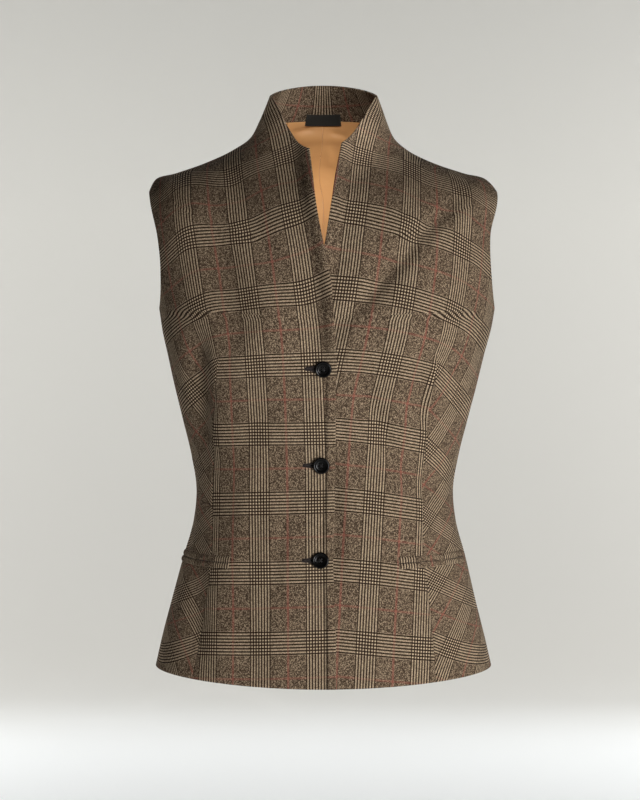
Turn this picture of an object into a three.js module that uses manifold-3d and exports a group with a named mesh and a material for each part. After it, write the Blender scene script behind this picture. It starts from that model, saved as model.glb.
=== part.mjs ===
// Women's suit waistcoat in checked wool, with a stand collar grown on to its fronts and back.
// Millimetres, +Z up, front towards -Y, wearer's left towards +X.
// The origin is between the shoulders, level with the middle of the shoulder seams.
import * as THREE from "three";
import Module from "manifold-3d";
import { mergeVertices } from "three/addons/utils/BufferGeometryUtils.js";

const wasm = await Module();
wasm.setup();

// Thicknesses and clearances
const CLOTH = 2.0;
const LINING = 1.0;
const SEAM_GAP = 0.3;
const INNER_GAP = 0.5;
const OVERLAP_RAISE = CLOTH + 0.8;

// Buttons and buttonholes
const BUTTON_WIDTH = 17.5;
const BUTTON_HEIGHT = 4.2;
const BUTTON_HEIGHTS = { top: -224, middle: -325.5, bottom: -425.5 };
const BUTTON_X = { top: -2.6, middle: -4.6, bottom: -5.4 };
const BUTTON_HOLE = 1.6;
const BUTTON_HOLE_SPREAD = 3.0;
const THREAD_WIDTH = 2.6;
const SLIT_HEIGHT = 3.4;
const SLIT_INNER = 2.2;
const SLIT_OUTER = 17.5;
const BUTTON_RISE = 1.2;
const THREAD_RISE = 0.9;
const SEGMENTS = { button: 20, hole: 6, thread: 10, slit: 5 };

// Pocket lips, label, vents and darts
const LIP_HEIGHT = 6.2;
const LIP_THICKNESS = 1.0;
const LIP_LENGTH = 100;
const LIP_COLUMNS = 10;
const LABEL_COLUMNS = 6;
const LABEL_WIDTH = 43;
const LABEL_HEIGHT = 12.5;
const LABEL_MIDDLE = 57;
const VENT_HEIGHT = 40;
const VENT_OPENING = 3.5;
const DART_GROOVE = 0.9;
const DART_HALF_WIDTH = 2.0;
const LINING_ABOVE_HEM = 22;
const LINING_SIDE_INSET = 4;
const LINING_SHOULDER_EASE = 1.5;
const SHOULDER_TURN = { near: 40, far: 120, low: -110, high: -50 };
const FACING_SIDE_INSET = 2;
const ROW_CLEARANCE = 4;

const CLOTH_COLOUR = 0x67584a;
const LINING_COLOUR = 0xbe8c59;
const BLACK = 0x191515;

const RIGHT_ANGLE = Math.PI / 2;

// Angles between which the front edge, the dart, a button and the pocket's line are looked for
const SEARCH = { edge: [-0.35, 0.9], dart: [0.2, 1.5], button: [-0.3, 0.6], pocket: 0.8 };
const SEARCH_STEP = 1e-9;

function table(columns, rows) {
  const names = columns.split(" ");
  return rows.map((row) => Object.fromEntries(names.map((name, i) => [name, row[i]])));
}

// Rings round the garment, hem first. side, front and back are heights at the side seam and the
// centre lines. width is half the ring's width. front and back depths are measured from the seat,
// which moves the ring back. squareness 2 is an ellipse. lean is how heights ease to the centre.
const RINGS = table(
  "side front back width frontDepth backDepth seat frontSquare backSquare lean",
  [
    [-545, -559, -547, 182.6, 115, 113, 0, 2.3, 2.3, 2],
    [-512, -521, -513, 175, 111.5, 110, 0, 2.3, 2.3, 2],
    [-469, -474, -469, 164, 107, 104, 0, 2.3, 2.3, 2],
    [-427, -430, -427, 153.5, 102.5, 96, 0, 2.3, 2.3, 2],
    [-387, -388, -387, 142.6, 98, 89, 0, 2.3, 2.3, 2],
    [-355, -355, -355, 139.6, 95.5, 86, 0, 2.3, 2.3, 2],
    [-317, -317, -317, 145.4, 97, 87, 0, 2.3, 2.3, 2],
    [-277, -277, -277, 155.2, 102.5, 91, 0, 2.3, 2.3, 2],
    [-237, -238, -236, 165.3, 109, 96, 0, 2.3, 2.35, 2],
    [-207, -210, -205, 172.2, 113.5, 99, 0, 2.3, 2.4, 2],
    [-181, -187, -177, 178.6, 116, 102, 0, 2.3, 2.4, 2],
    [-159, -170, -152, 182.3, 117, 104.5, 0, 2.3, 2.4, 2],
    [-117, -142, -104, 189.5, 116, 106, 0, 2.3, 2.4, 2],
    [-72, -117, -52, 191.8, 114.5, 103, 0, 2.25, 2.3, 2],
    [-30, -96, -8, 189.2, 112.5, 97, 0, 2.2, 2.2, 2],
    [-17, -85, 4, 180, 111, 93.5, 0, 2.1, 2.1, 2],
    [-10.5, -75, 15, 158, 109.5, 89, 0, 2.0, 2.1, 2],
    [2, -60, 29, 122, 107, 83, 0, 1.85, 2.05, 1.9],
    [15.5, -46, 38, 94.8, 104, 79, 0, 1.7, 2.0, 1.75],
    [28.6, -34, 47, 78.5, 102, 76, 2, 1.55, 2.0, 1.6],
    [46, -18, 56.5, 70, 99.5, 73, 3.2, 1.44, 2.0, 1.45],
    [61, -5, 75, 64.2, 97.5, 68.5, 4.2, 1.36, 2.0, 1.3],
    [76, 7, 95, 58.5, 96, 65, 5, 1.3, 2.0, 1.2],
  ],
);

// Front edges seen from the front: height, and how far the edge is from the middle, towards +X.
// The right front laps over the left one from the foot of the V down.
const TOP_EDGE = table("height x", [
  [15, -18.5], [-17, -14.4], [-57, -9], [-98, -1.6], [-138, 6.0], [-172, 8.3], [-205, 11.2],
  [-260, 10.6], [-355, 9.6], [-424, 7.8], [-517, 10.6], [-560, 10.6],
]);
const UNDER_EDGE = table("height x", [
  [18, 17.8], [8, 15.9], [-17, 11.0], [-59, 4.4], [-97, -1.8], [-138, -10.5], [-172, -15],
  [-205, -18], [-260, -18.5], [-355, -18.5], [-560, -18.5],
]);

// Dart seams, from the hem through the pocket to the bust, as distances out from the middle.
const DART_OF_RIGHT_FRONT = table("height out", [
  [-560, 143], [-472, 131], [-427, 123], [-355, 121], [-290, 122], [-205, 112],
]);
const DART_OF_LEFT_FRONT = table("height out", [
  [-560, 117], [-472, 110], [-427, 104], [-355, 104.5], [-290, 108], [-225, 118],
]);
const DART_TOP = -215;
const DART_TOP_EASE = 70;
const DART_FADE = 40;

// Bust fullness given by the darts
const BUST = { out: 86, height: -182, fullness: 9, across: 60, above: 75, below: 62, fadeAtSide: 0.35 };

// Armhole oval: how far its edges reach from the side seam, as angles round the ring
const ARMHOLE = { front: 0.45, back: 0.49, squareness: 0.8 };
const UNDERARM_RING = 11;
const SHOULDER_RING = 14;
const FACING_RING = 20;

// How far the garment hangs to one side, towards +X, at each height
const SWAY = table("height x", [
  [95, -2.2], [60, -2.2], [46, -2.8], [26, -4], [14, -6], [-12, -6], [-25, -3.5], [-80, -2],
  [-120, 0.3], [-155, 1.5], [-205, 0.5], [-355, -0.8], [-425, -1.2], [-480, -2.2], [-560, -2.2],
]);

// Soft drag folds in the fronts: two ends as distance out and height, depth (minus for a trough)
// and half width
const FOLDS = table("side out1 height1 out2 height2 depth spread", [
  [-1, 150, -300, 100, -335, -1.6, 16],
  [-1, 158, -235, 118, -272, -1.5, 15],
  [1, 152, -240, 112, -205, -1.8, 16],
  [1, 150, -330, 95, -352, -1.5, 15],
  [1, 60, -60, 40, -130, -1.4, 20],
  [-1, 62, -40, 38, -120, -1.2, 20],
]);

function smooth(from, to, value) {
  const part = Math.min(1, Math.max(0, (value - from) / (to - from)));
  return part * part * (3 - 2 * part);
}

function mix(a, b, part) {
  return a + (b - a) * part;
}

// A smooth curve through values at rising knots
function curveThrough(knots, values) {
  const last = knots.length - 1;
  const secant = (i) => (values[i + 1] - values[i]) / (knots[i + 1] - knots[i]);
  const slopes = knots.map((knot, i) => {
    if (i === 0) return secant(0);
    if (i === last) return secant(last - 1);
    const before = knots[i] - knots[i - 1];
    const after = knots[i + 1] - knots[i];
    return (secant(i - 1) * after + secant(i) * before) / (before + after);
  });
  return (at) => {
    const x = Math.min(knots[last], Math.max(knots[0], at));
    let i = 0;
    while (i < last - 1 && x > knots[i + 1]) i += 1;
    const step = knots[i + 1] - knots[i];
    const s = (x - knots[i]) / step;
    const startShare = (1 + 2 * s) * (1 - s) * (1 - s);
    const startSlope = s * (1 - s) * (1 - s) * step * slopes[i];
    const endShare = s * s * (3 - 2 * s);
    const endSlope = s * s * (s - 1) * step * slopes[i + 1];
    return startShare * values[i] + startSlope + endShare * values[i + 1] + endSlope;
  };
}

// A ring's place is its distance up the side from the hem
const RING_PLACES = RINGS.reduce((places, ring, i) => {
  const before = RINGS[i - 1];
  places.push(i ? places[i - 1] + Math.hypot(ring.width - before.width, ring.side - before.side) : 0);
  return places;
}, []);
const TOP_PLACE = RING_PLACES[RINGS.length - 1];
const UNDERARM = RING_PLACES[UNDERARM_RING];
const SHOULDER = RING_PLACES[SHOULDER_RING];
const FACING_EDGE = RING_PLACES[FACING_RING];

const ringCurves = Object.fromEntries(
  Object.keys(RINGS[0]).map((name) => [name, curveThrough(RING_PLACES, RINGS.map((ring) => ring[name]))]),
);

function edgeCurve(rows, name) {
  const rising = [...rows].reverse();
  return curveThrough(rising.map((row) => row.height), rising.map((row) => row[name]));
}

const swayCurve = edgeCurve(SWAY, "x");

function bustFullness(out, height) {
  const reach = height > BUST.height ? BUST.above : BUST.below;
  const up = Math.exp(-(((height - BUST.height) / reach) ** 2));
  const across = [BUST.out, -BUST.out].map((middle) => Math.exp(-(((out - middle) / BUST.across) ** 2)));
  return BUST.fullness * up * (across[0] + across[1]);
}

function foldDepth(side, out, height) {
  let depth = 0;
  for (const fold of FOLDS.filter((row) => row.side === side)) {
    const alongX = fold.out2 - fold.out1;
    const alongZ = fold.height2 - fold.height1;
    const length = Math.hypot(alongX, alongZ);
    const along = ((out - fold.out1) * alongX + (height - fold.height1) * alongZ) / (length * length);
    const off = ((out - fold.out1) * alongZ - (height - fold.height1) * alongX) / length;
    const ends = Math.abs(along - 0.5) * 2;
    depth += fold.depth * Math.exp(-((off / fold.spread) ** 2) - ends ** 4);
  }
  return depth;
}

// The garment's form on its wearer's left half: angle 0 is the centre front, a right angle the side
// seam or shoulder seam, two right angles the centre back.
function plainForm(angle, place) {
  const ring = Object.fromEntries(Object.entries(ringCurves).map(([name, curve]) => [name, curve(place)]));
  const sine = Math.sin(angle);
  const cosine = Math.cos(angle);
  const inFront = cosine >= 0;
  const square = inFront ? ring.frontSquare : ring.backSquare;
  const reach = (Math.abs(sine) ** square + Math.abs(cosine) ** square) ** (-1 / square);
  const centre = inFront ? ring.front : ring.back;
  const depth = inFront ? ring.frontDepth : ring.backDepth;
  const out = ring.width * reach * sine;
  const height = mix(ring.side, centre, Math.abs(cosine) ** ring.lean);
  const fullness = bustFullness(out, height) * smooth(0, BUST.fadeAtSide, cosine);
  return new THREE.Vector3(out, ring.seat - depth * reach * cosine - fullness, height);
}

function formAxes(angle, place) {
  const turn = 0.004;
  const rise = 0.6;
  const round = plainForm(angle + turn, place).sub(plainForm(angle - turn, place));
  const low = Math.max(0, place - rise);
  const high = Math.min(TOP_PLACE, place + rise);
  const up = plainForm(angle, high).sub(plainForm(angle, low));
  const speed = round.length() / (2 * turn);
  return { normal: round.cross(up).normalize(), speed };
}

// A point of the cloth on the wearer's left half, with its soft folds, and the way out of it.
// The other half is mirrored later, so its sway is turned round here.
function clothPoint(side, angle, place) {
  const { normal, speed } = formAxes(angle, place);
  const point = plainForm(angle, place);
  if (angle < RIGHT_ANGLE) point.addScaledVector(normal, foldDepth(side, point.x, point.z));
  point.x += side * swayCurve(point.z);
  return { point, normal, speed };
}

// Where a test stops being true between two values
function halve(low, high, isBelow) {
  let from = low;
  let to = high;
  while (to - from > SEARCH_STEP) {
    const middle = (from + to) / 2;
    if (isBelow(middle)) from = middle;
    else to = middle;
  }
  return (from + to) / 2;
}

// The angle where a ring meets a line that gives the distance out for a height
function angleAtLine(place, outAtHeight, [low, high]) {
  return halve(low, high, (angle) => {
    const point = plainForm(angle, place);
    return point.x < outAtHeight(point.z);
  });
}

function placeAtHeight(angle, height) {
  return halve(0, TOP_PLACE, (place) => plainForm(angle, place).z < height);
}

// How far the armhole's edge is from the side seam, as an angle
function armholeReach(place, largest) {
  if (place <= UNDERARM || place >= SHOULDER) return 0;
  const up = (2 * (place - UNDERARM)) / (SHOULDER - UNDERARM) - 1;
  return largest * (1 - up * up) ** (ARMHOLE.squareness / 2);
}

function spaced(from, to, count) {
  return Array.from({ length: count }, (_, i) => mix(from, to, (i + 1) / count));
}

const ROWS = { body: 17, armhole: 9, shoulder: 8, collar: 3 };

// Rows shared by all panels: even up to the underarm, closer at both ends of the armhole
function panelPlaces() {
  const armhole = spaced(-RIGHT_ANGLE, RIGHT_ANGLE, ROWS.armhole).map(
    (turn) => mix(UNDERARM, SHOULDER, (Math.sin(turn) + 1) / 2),
  );
  const shoulder = spaced(SHOULDER, FACING_EDGE, ROWS.shoulder);
  const collar = spaced(FACING_EDGE, TOP_PLACE, ROWS.collar);
  return [0, ...spaced(0, UNDERARM, ROWS.body), ...armhole, ...shoulder, ...collar];
}

// A wall of cloth on a grid of points. Each entry has a point, the way out, and how far its outer
// and inner faces stand from the point.
function wallGeometry(grid, mirrored) {
  const rows = grid.length;
  const columns = grid[0].length;
  const positions = [];
  const addFace = (name) => {
    for (const row of grid) {
      for (const entry of row) {
        const at = entry.point.clone().addScaledVector(entry.normal, entry[name]);
        positions.push(mirrored ? -at.x : at.x, at.y, at.z);
      }
    }
  };
  addFace("outer");
  addFace("inner");
  const inside = rows * columns;
  const indices = [];
  const quad = (a, b, c, d) => {
    if (mirrored) indices.push(a, c, b, a, d, c);
    else indices.push(a, b, c, a, c, d);
  };
  for (let j = 0; j < rows - 1; j += 1) {
    for (let i = 0; i < columns - 1; i += 1) {
      const a = j * columns + i;
      const b = a + 1;
      const c = b + columns;
      const d = a + columns;
      quad(a, b, c, d);
      quad(inside + b, inside + a, inside + d, inside + c);
    }
  }
  const edge = (a, b) => quad(b, a, inside + a, inside + b);
  for (let i = 0; i < columns - 1; i += 1) {
    edge(i, i + 1);
    edge((rows - 1) * columns + i + 1, (rows - 1) * columns + i);
  }
  for (let j = 0; j < rows - 1; j += 1) {
    edge((j + 1) * columns, j * columns);
    edge(j * columns + columns - 1, (j + 1) * columns + columns - 1);
  }
  const geometry = new THREE.BufferGeometry();
  geometry.setAttribute("position", new THREE.Float32BufferAttribute(positions, 3));
  geometry.setIndex(indices);
  return geometry;
}

function toSolid(geometry) {
  const bare = geometry.clone();
  bare.deleteAttribute("normal");
  bare.deleteAttribute("uv");
  const merged = mergeVertices(bare, 1e-4);
  return new wasm.Manifold(new wasm.Mesh({
    numProp: 3,
    vertProperties: new Float32Array(merged.attributes.position.array),
    triVerts: new Uint32Array(merged.index.array),
  }));
}

function toGeometry(solid) {
  const mesh = solid.getMesh();
  const geometry = new THREE.BufferGeometry();
  geometry.setAttribute("position", new THREE.BufferAttribute(new Float32Array(mesh.vertProperties), 3));
  geometry.setIndex(new THREE.BufferAttribute(new Uint32Array(mesh.triVerts), 1));
  return geometry;
}

// A piece on the right is made on the left half and mirrored
const garment = new THREE.Group();

function addPiece(name, geometry, colour, roughness = 0.9) {
  geometry.computeVertexNormals();
  const material = new THREE.MeshStandardMaterial({ color: colour, roughness, metalness: 0 });
  const mesh = new THREE.Mesh(geometry, material);
  mesh.name = name;
  garment.add(mesh);
}

const rightFront = {
  side: -1,
  edge: edgeCurve(TOP_EDGE, "x"),
  dart: edgeCurve(DART_OF_RIGHT_FRONT, "out"),
  onTop: true,
  pocketStart: 101,
};
const leftFront = {
  side: 1,
  edge: edgeCurve(UNDER_EDGE, "x"),
  dart: edgeCurve(DART_OF_LEFT_FRONT, "out"),
  onTop: false,
  pocketStart: 77,
};

const LAP_EASE = { near: 26, far: 80, top: -20, bottom: -95 };

// The overlapping front lies on the other one, and eases down to its own form away from the edge
function overlapRaise(front, point) {
  if (!front.onTop) return 0;
  const across = smooth(LAP_EASE.far, LAP_EASE.near, point.x);
  return OVERLAP_RAISE * across * smooth(LAP_EASE.top, LAP_EASE.bottom, point.z);
}

// Columns of the grid on each side of the dart
const FRONT_COLUMNS = 6;
const SIDE_COLUMNS = 5;
const COLUMN_SHARE = 0.56;

function frontAngles(front, place) {
  const edgeOut = (height) => front.side * (front.edge(height) - swayCurve(height));
  const first = angleAtLine(place, edgeOut, SEARCH.edge);
  const last = RIGHT_ANGLE - armholeReach(place, ARMHOLE.front);
  const dartOut = (height) => front.dart(height) - front.side * swayCurve(height);
  const onDart = angleAtLine(place, dartOut, SEARCH.dart);
  const spread = mix(first, last, COLUMN_SHARE);
  const easing = smooth(DART_TOP, DART_TOP + DART_TOP_EASE, plainForm(onDart, place).z);
  const seam = mix(onDart, spread, easing);
  return { first, seam, last };
}

function frontRow(front, place) {
  const { first, seam, last } = frontAngles(front, place);
  const half = DART_HALF_WIDTH / formAxes(seam, place).speed;
  const aboveHem = plainForm(last, place).z - RINGS[0].side;
  const vent = VENT_OPENING * Math.max(0, 1 - aboveHem / VENT_HEIGHT);
  const end = last - (SEAM_GAP / 2 + vent) / formAxes(RIGHT_ANGLE, place).speed;
  const inward = [first, ...spaced(first, seam - half, FRONT_COLUMNS)];
  const outward = [seam + half, ...spaced(seam + half, end, SIDE_COLUMNS)];
  return [...inward, seam, ...outward].map((angle) => {
    const entry = clothPoint(front.side, angle, place);
    const closing = smooth(DART_TOP, DART_TOP - DART_FADE, entry.point.z);
    const groove = angle === seam ? DART_GROOVE * closing : 0;
    const raise = overlapRaise(front, entry.point);
    return { ...entry, outer: raise - groove, inner: raise - CLOTH };
  });
}

function frontPanel(front) {
  const grid = panelPlaces().map((place) => frontRow(front, place));
  return wallGeometry(grid, front.side < 0);
}

const BACK_COLUMNS = 10;

function backAngles(place, columns, centreInset, sideInset) {
  const centre = 2 * RIGHT_ANGLE - centreInset / formAxes(2 * RIGHT_ANGLE, place).speed;
  const sideSpeed = formAxes(RIGHT_ANGLE, place).speed;
  const last = RIGHT_ANGLE + armholeReach(place, ARMHOLE.back) + sideInset / sideSpeed;
  return [last, ...spaced(last, centre, columns)];
}

function backPanel(side) {
  const grid = panelPlaces().map((place) =>
    backAngles(place, BACK_COLUMNS, SEAM_GAP / 2, SEAM_GAP / 2).map((angle) => ({
      ...clothPoint(side, angle, place),
      outer: 0,
      inner: -CLOTH,
    })),
  );
  return wallGeometry(grid, side < 0);
}

const FACING_FACE = -(CLOTH + INNER_GAP);
const LABEL_FACE = FACING_FACE - LINING - INNER_GAP;

// The lining stands further in where the shoulder turns sharply
function liningFace(point) {
  const across = smooth(SHOULDER_TURN.near, SHOULDER_TURN.far, point.x);
  const up = smooth(SHOULDER_TURN.low, SHOULDER_TURN.high, point.z);
  return FACING_FACE - LINING_SHOULDER_EASE * across * up;
}

function liningPanel(side) {
  const start = placeAtHeight(RIGHT_ANGLE, RINGS[0].side + LINING_ABOVE_HEM);
  const low = start + ROW_CLEARANCE;
  const high = FACING_EDGE - ROW_CLEARANCE;
  const full = panelPlaces().filter((place) => place > low && place < high);
  const grid = [start, ...full, FACING_EDGE - 2 * SEAM_GAP].map((place) =>
    backAngles(place, BACK_COLUMNS, SEAM_GAP / 2, LINING_SIDE_INSET).map((angle) => {
      const entry = clothPoint(side, angle, place);
      const face = liningFace(entry.point);
      return { ...entry, outer: face, inner: face - LINING };
    }),
  );
  return wallGeometry(grid, side < 0);
}

function collarFacing() {
  const half = spaced(RIGHT_ANGLE, 2 * RIGHT_ANGLE, BACK_COLUMNS);
  const inset = FACING_SIDE_INSET / formAxes(RIGHT_ANGLE, TOP_PLACE).speed;
  const angles = [RIGHT_ANGLE + inset, ...half];
  const all = [...angles, ...angles.slice(0, -1).reverse().map((angle) => 4 * RIGHT_ANGLE - angle)];
  const grid = [0, 1 / 3, 2 / 3, 1].map((part) =>
    all.map((angle) => {
      const entry = clothPoint(1, angle, mix(FACING_EDGE, TOP_PLACE, part));
      return { ...entry, outer: FACING_FACE, inner: FACING_FACE - LINING };
    }),
  );
  return wallGeometry(grid, false);
}

function neckLabel() {
  const low = LABEL_MIDDLE - LABEL_HEIGHT / 2;
  const middle = placeAtHeight(2 * RIGHT_ANGLE, LABEL_MIDDLE);
  const reach = LABEL_WIDTH / 2 / formAxes(2 * RIGHT_ANGLE, middle).speed;
  const grid = [0, 0.5, 1].map((up) =>
    Array.from({ length: LABEL_COLUMNS + 1 }, (_, i) => {
      const angle = 2 * RIGHT_ANGLE + mix(-reach, reach, i / LABEL_COLUMNS);
      const entry = clothPoint(1, angle, placeAtHeight(angle, low + up * LABEL_HEIGHT));
      return { ...entry, outer: LABEL_FACE, inner: LABEL_FACE - LINING };
    }),
  );
  return wallGeometry(grid, false);
}

// The pocket's opening runs round the body, a little higher at the side
const POCKET_LINE = { inner: -429, outer: -425 };

function pocketLip(front, upper) {
  const startPlace = placeAtHeight(SEARCH.pocket, POCKET_LINE.inner);
  const startOut = front.pocketStart - front.side * swayCurve(POCKET_LINE.inner);
  const start = angleAtLine(startPlace, () => startOut, SEARCH.dart);
  const angles = [start];
  for (let k = 0; k < LIP_COLUMNS; k += 1) {
    const from = angles[k];
    angles.push(from + LIP_LENGTH / LIP_COLUMNS / formAxes(from, startPlace).speed);
  }
  const gap = SEAM_GAP / 2;
  const low = upper ? gap : -gap - LIP_HEIGHT;
  const grid = [0, 1].map((part) =>
    angles.map((angle, k) => {
      const opening = mix(POCKET_LINE.inner, POCKET_LINE.outer, k / LIP_COLUMNS);
      const place = placeAtHeight(angle, opening + low + part * LIP_HEIGHT);
      const entry = clothPoint(front.side, angle, place);
      const raise = overlapRaise(front, entry.point);
      return { ...entry, outer: raise + INNER_GAP + LIP_THICKNESS, inner: raise + INNER_GAP };
    }),
  );
  return wallGeometry(grid, front.side < 0);
}

// The middle of a button on the right front's outer face, with the way out of it
function buttonSeat(name) {
  const x = BUTTON_X[name];
  const out = -(x - swayCurve(BUTTON_HEIGHTS[name]));
  const place = placeAtHeight(0, BUTTON_HEIGHTS[name]);
  const angle = angleAtLine(place, () => out, SEARCH.button);
  const entry = clothPoint(-1, angle, place);
  const top = entry.point.clone().addScaledVector(entry.normal, OVERLAP_RAISE);
  const mirror = (v) => new THREE.Vector3(-v.x, v.y, v.z);
  return { top: mirror(top), normal: mirror(entry.normal) };
}

function standOn(geometry, seat, rise) {
  const turn = new THREE.Quaternion().setFromUnitVectors(new THREE.Vector3(0, 0, 1), seat.normal);
  geometry.applyQuaternion(turn);
  const at = seat.top.clone().addScaledVector(seat.normal, rise);
  geometry.translate(at.x, at.y, at.z);
  return geometry;
}

// A turned body about +Z from a closed profile of radius and height
function turned(profile, segments) {
  const points = profile.map(([radius, height]) => new THREE.Vector2(radius, height));
  return new THREE.LatheGeometry(points, segments).rotateX(RIGHT_ANGLE);
}

// Half a button's section, from the middle of its underside: share of the radius, share of the height
const BUTTON_PROFILE = table("across up", [
  [0, 0], [0.72, 0], [0.96, 0.3], [1, 0.62], [0.95, 0.92], [0.84, 1], [0.7, 0.88], [0.56, 0.66], [0, 0.6],
]);

function buttonGeometry() {
  const profile = BUTTON_PROFILE.map(({ across, up }) => [(across * BUTTON_WIDTH) / 2, up * BUTTON_HEIGHT]);
  let drilled = toSolid(turned(profile, SEGMENTS.button));
  for (let k = 0; k < 4; k += 1) {
    const turn = (k + 0.5) * RIGHT_ANGLE;
    const round = BUTTON_HOLE / 2;
    const hole = new THREE.CylinderGeometry(round, round, BUTTON_HEIGHT * 3, SEGMENTS.hole);
    hole.rotateX(RIGHT_ANGLE);
    const spread = BUTTON_HOLE_SPREAD / 2;
    hole.translate(Math.cos(turn) * spread * Math.SQRT2, Math.sin(turn) * spread * Math.SQRT2, 0);
    drilled = drilled.subtract(toSolid(hole));
  }
  return toGeometry(drilled);
}

// A buttonhole runs out from the shank to a rounded end, right through the front
function slitGeometry(seat) {
  const round = SLIT_HEIGHT / 2;
  const shape = new THREE.Shape();
  shape.moveTo(-SLIT_INNER, round);
  shape.lineTo(SLIT_OUTER, round);
  shape.absarc(SLIT_OUTER, 0, round, RIGHT_ANGLE, -RIGHT_ANGLE, true);
  shape.lineTo(-SLIT_INNER, -round);
  shape.absarc(-SLIT_INNER, 0, round, -RIGHT_ANGLE, -3 * RIGHT_ANGLE, true);
  const depth = CLOTH * 2;
  const settings = { depth, bevelEnabled: false, curveSegments: SEGMENTS.slit };
  const slit = new THREE.ExtrudeGeometry(shape, settings);
  slit.translate(0, 0, -CLOTH * 1.5);
  slit.rotateZ(Math.PI);
  slit.rotateX(RIGHT_ANGLE);
  slit.translate(seat.top.x, seat.top.y, seat.top.z);
  return slit;
}

let rightFrontSolid = toSolid(frontPanel(rightFront));
for (const name of Object.keys(BUTTON_HEIGHTS)) {
  const seat = buttonSeat(name);
  rightFrontSolid = rightFrontSolid.subtract(toSolid(slitGeometry(seat)));
  const threadLength = CLOTH + THREAD_RISE;
  const round = THREAD_WIDTH / 2;
  const thread = new THREE.CylinderGeometry(round, round, threadLength, SEGMENTS.thread);
  thread.rotateX(RIGHT_ANGLE);
  thread.translate(0, 0, -threadLength / 2);
  addPiece(`button_${name}`, standOn(buttonGeometry(), seat, BUTTON_RISE), BLACK, 0.25);
  addPiece(`button_${name}_shank`, standOn(thread, seat, THREAD_RISE), BLACK, 0.8);
}

addPiece("front_right", toGeometry(rightFrontSolid), CLOTH_COLOUR);
addPiece("front_left", frontPanel(leftFront), CLOTH_COLOUR);
addPiece("back_right", backPanel(-1), CLOTH_COLOUR);
addPiece("back_left", backPanel(1), CLOTH_COLOUR);
addPiece("collar_facing", collarFacing(), CLOTH_COLOUR);
addPiece("lining_back_right", liningPanel(-1), LINING_COLOUR, 0.5);
addPiece("lining_back_left", liningPanel(1), LINING_COLOUR, 0.5);
addPiece("neck_label", neckLabel(), BLACK, 0.7);
for (const front of [rightFront, leftFront]) {
  const name = front.side < 0 ? "right" : "left";
  addPiece(`pocket_${name}_upper_lip`, pocketLip(front, true), CLOTH_COLOUR);
  addPiece(`pocket_${name}_lower_lip`, pocketLip(front, false), CLOTH_COLOUR);
}

export default garment;
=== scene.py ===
import math

import bpy
import numpy as np
from bpy.props import FloatProperty, FloatVectorProperty, PointerProperty
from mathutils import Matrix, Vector


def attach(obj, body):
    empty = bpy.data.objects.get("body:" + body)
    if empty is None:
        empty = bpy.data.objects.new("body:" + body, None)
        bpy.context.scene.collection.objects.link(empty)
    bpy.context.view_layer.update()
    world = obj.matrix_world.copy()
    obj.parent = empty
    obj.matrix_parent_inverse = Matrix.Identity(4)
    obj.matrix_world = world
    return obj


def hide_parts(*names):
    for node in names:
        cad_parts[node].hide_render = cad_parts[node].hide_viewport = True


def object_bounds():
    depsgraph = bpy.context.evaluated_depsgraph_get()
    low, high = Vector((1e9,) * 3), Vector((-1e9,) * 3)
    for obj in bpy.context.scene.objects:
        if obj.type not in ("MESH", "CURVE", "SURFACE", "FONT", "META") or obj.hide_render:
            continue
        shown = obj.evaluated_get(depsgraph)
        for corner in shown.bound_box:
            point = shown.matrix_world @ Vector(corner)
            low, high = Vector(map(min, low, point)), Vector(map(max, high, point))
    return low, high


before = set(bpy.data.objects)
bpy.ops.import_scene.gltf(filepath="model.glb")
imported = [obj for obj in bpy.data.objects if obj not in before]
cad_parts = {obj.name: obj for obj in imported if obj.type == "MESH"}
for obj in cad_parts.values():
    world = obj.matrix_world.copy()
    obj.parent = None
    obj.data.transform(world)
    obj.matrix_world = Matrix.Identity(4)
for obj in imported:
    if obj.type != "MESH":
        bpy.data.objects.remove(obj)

bl_info = {
    "name": "Suit waistcoat",
    "version": (1, 0, 0),
    "blender": (4, 5, 0),
    "location": "View3D > Sidebar > Waistcoat",
    "description": "Dresses the suit waistcoat in checked wool, lining, buttons and stitching",
    "category": "Object",
}

CAD_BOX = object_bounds()

# The form is worked out in millimetres, with the wearer's left half at +X
METRE = 0.001
RIGHT_ANGLE = math.pi / 2
CLOTH_MAP = "cloth"

CLOTH = 2.0
LINING = 1.0
SEAM_GAP = 0.3
CLOSED_SEAM = 0.02
INNER_GAP = 0.5
OVERLAP_RAISE = CLOTH + 0.8
LINING_ABOVE_HEM, LINING_SIDE_GAP = 22, 4
LINING_EASE, EASE_OUT, EASE_UP = 1.5, (40, 120), (-110, -50)


def table(columns, rows):
    return dict(zip(columns.split(), np.array(rows, float).T))


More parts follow.
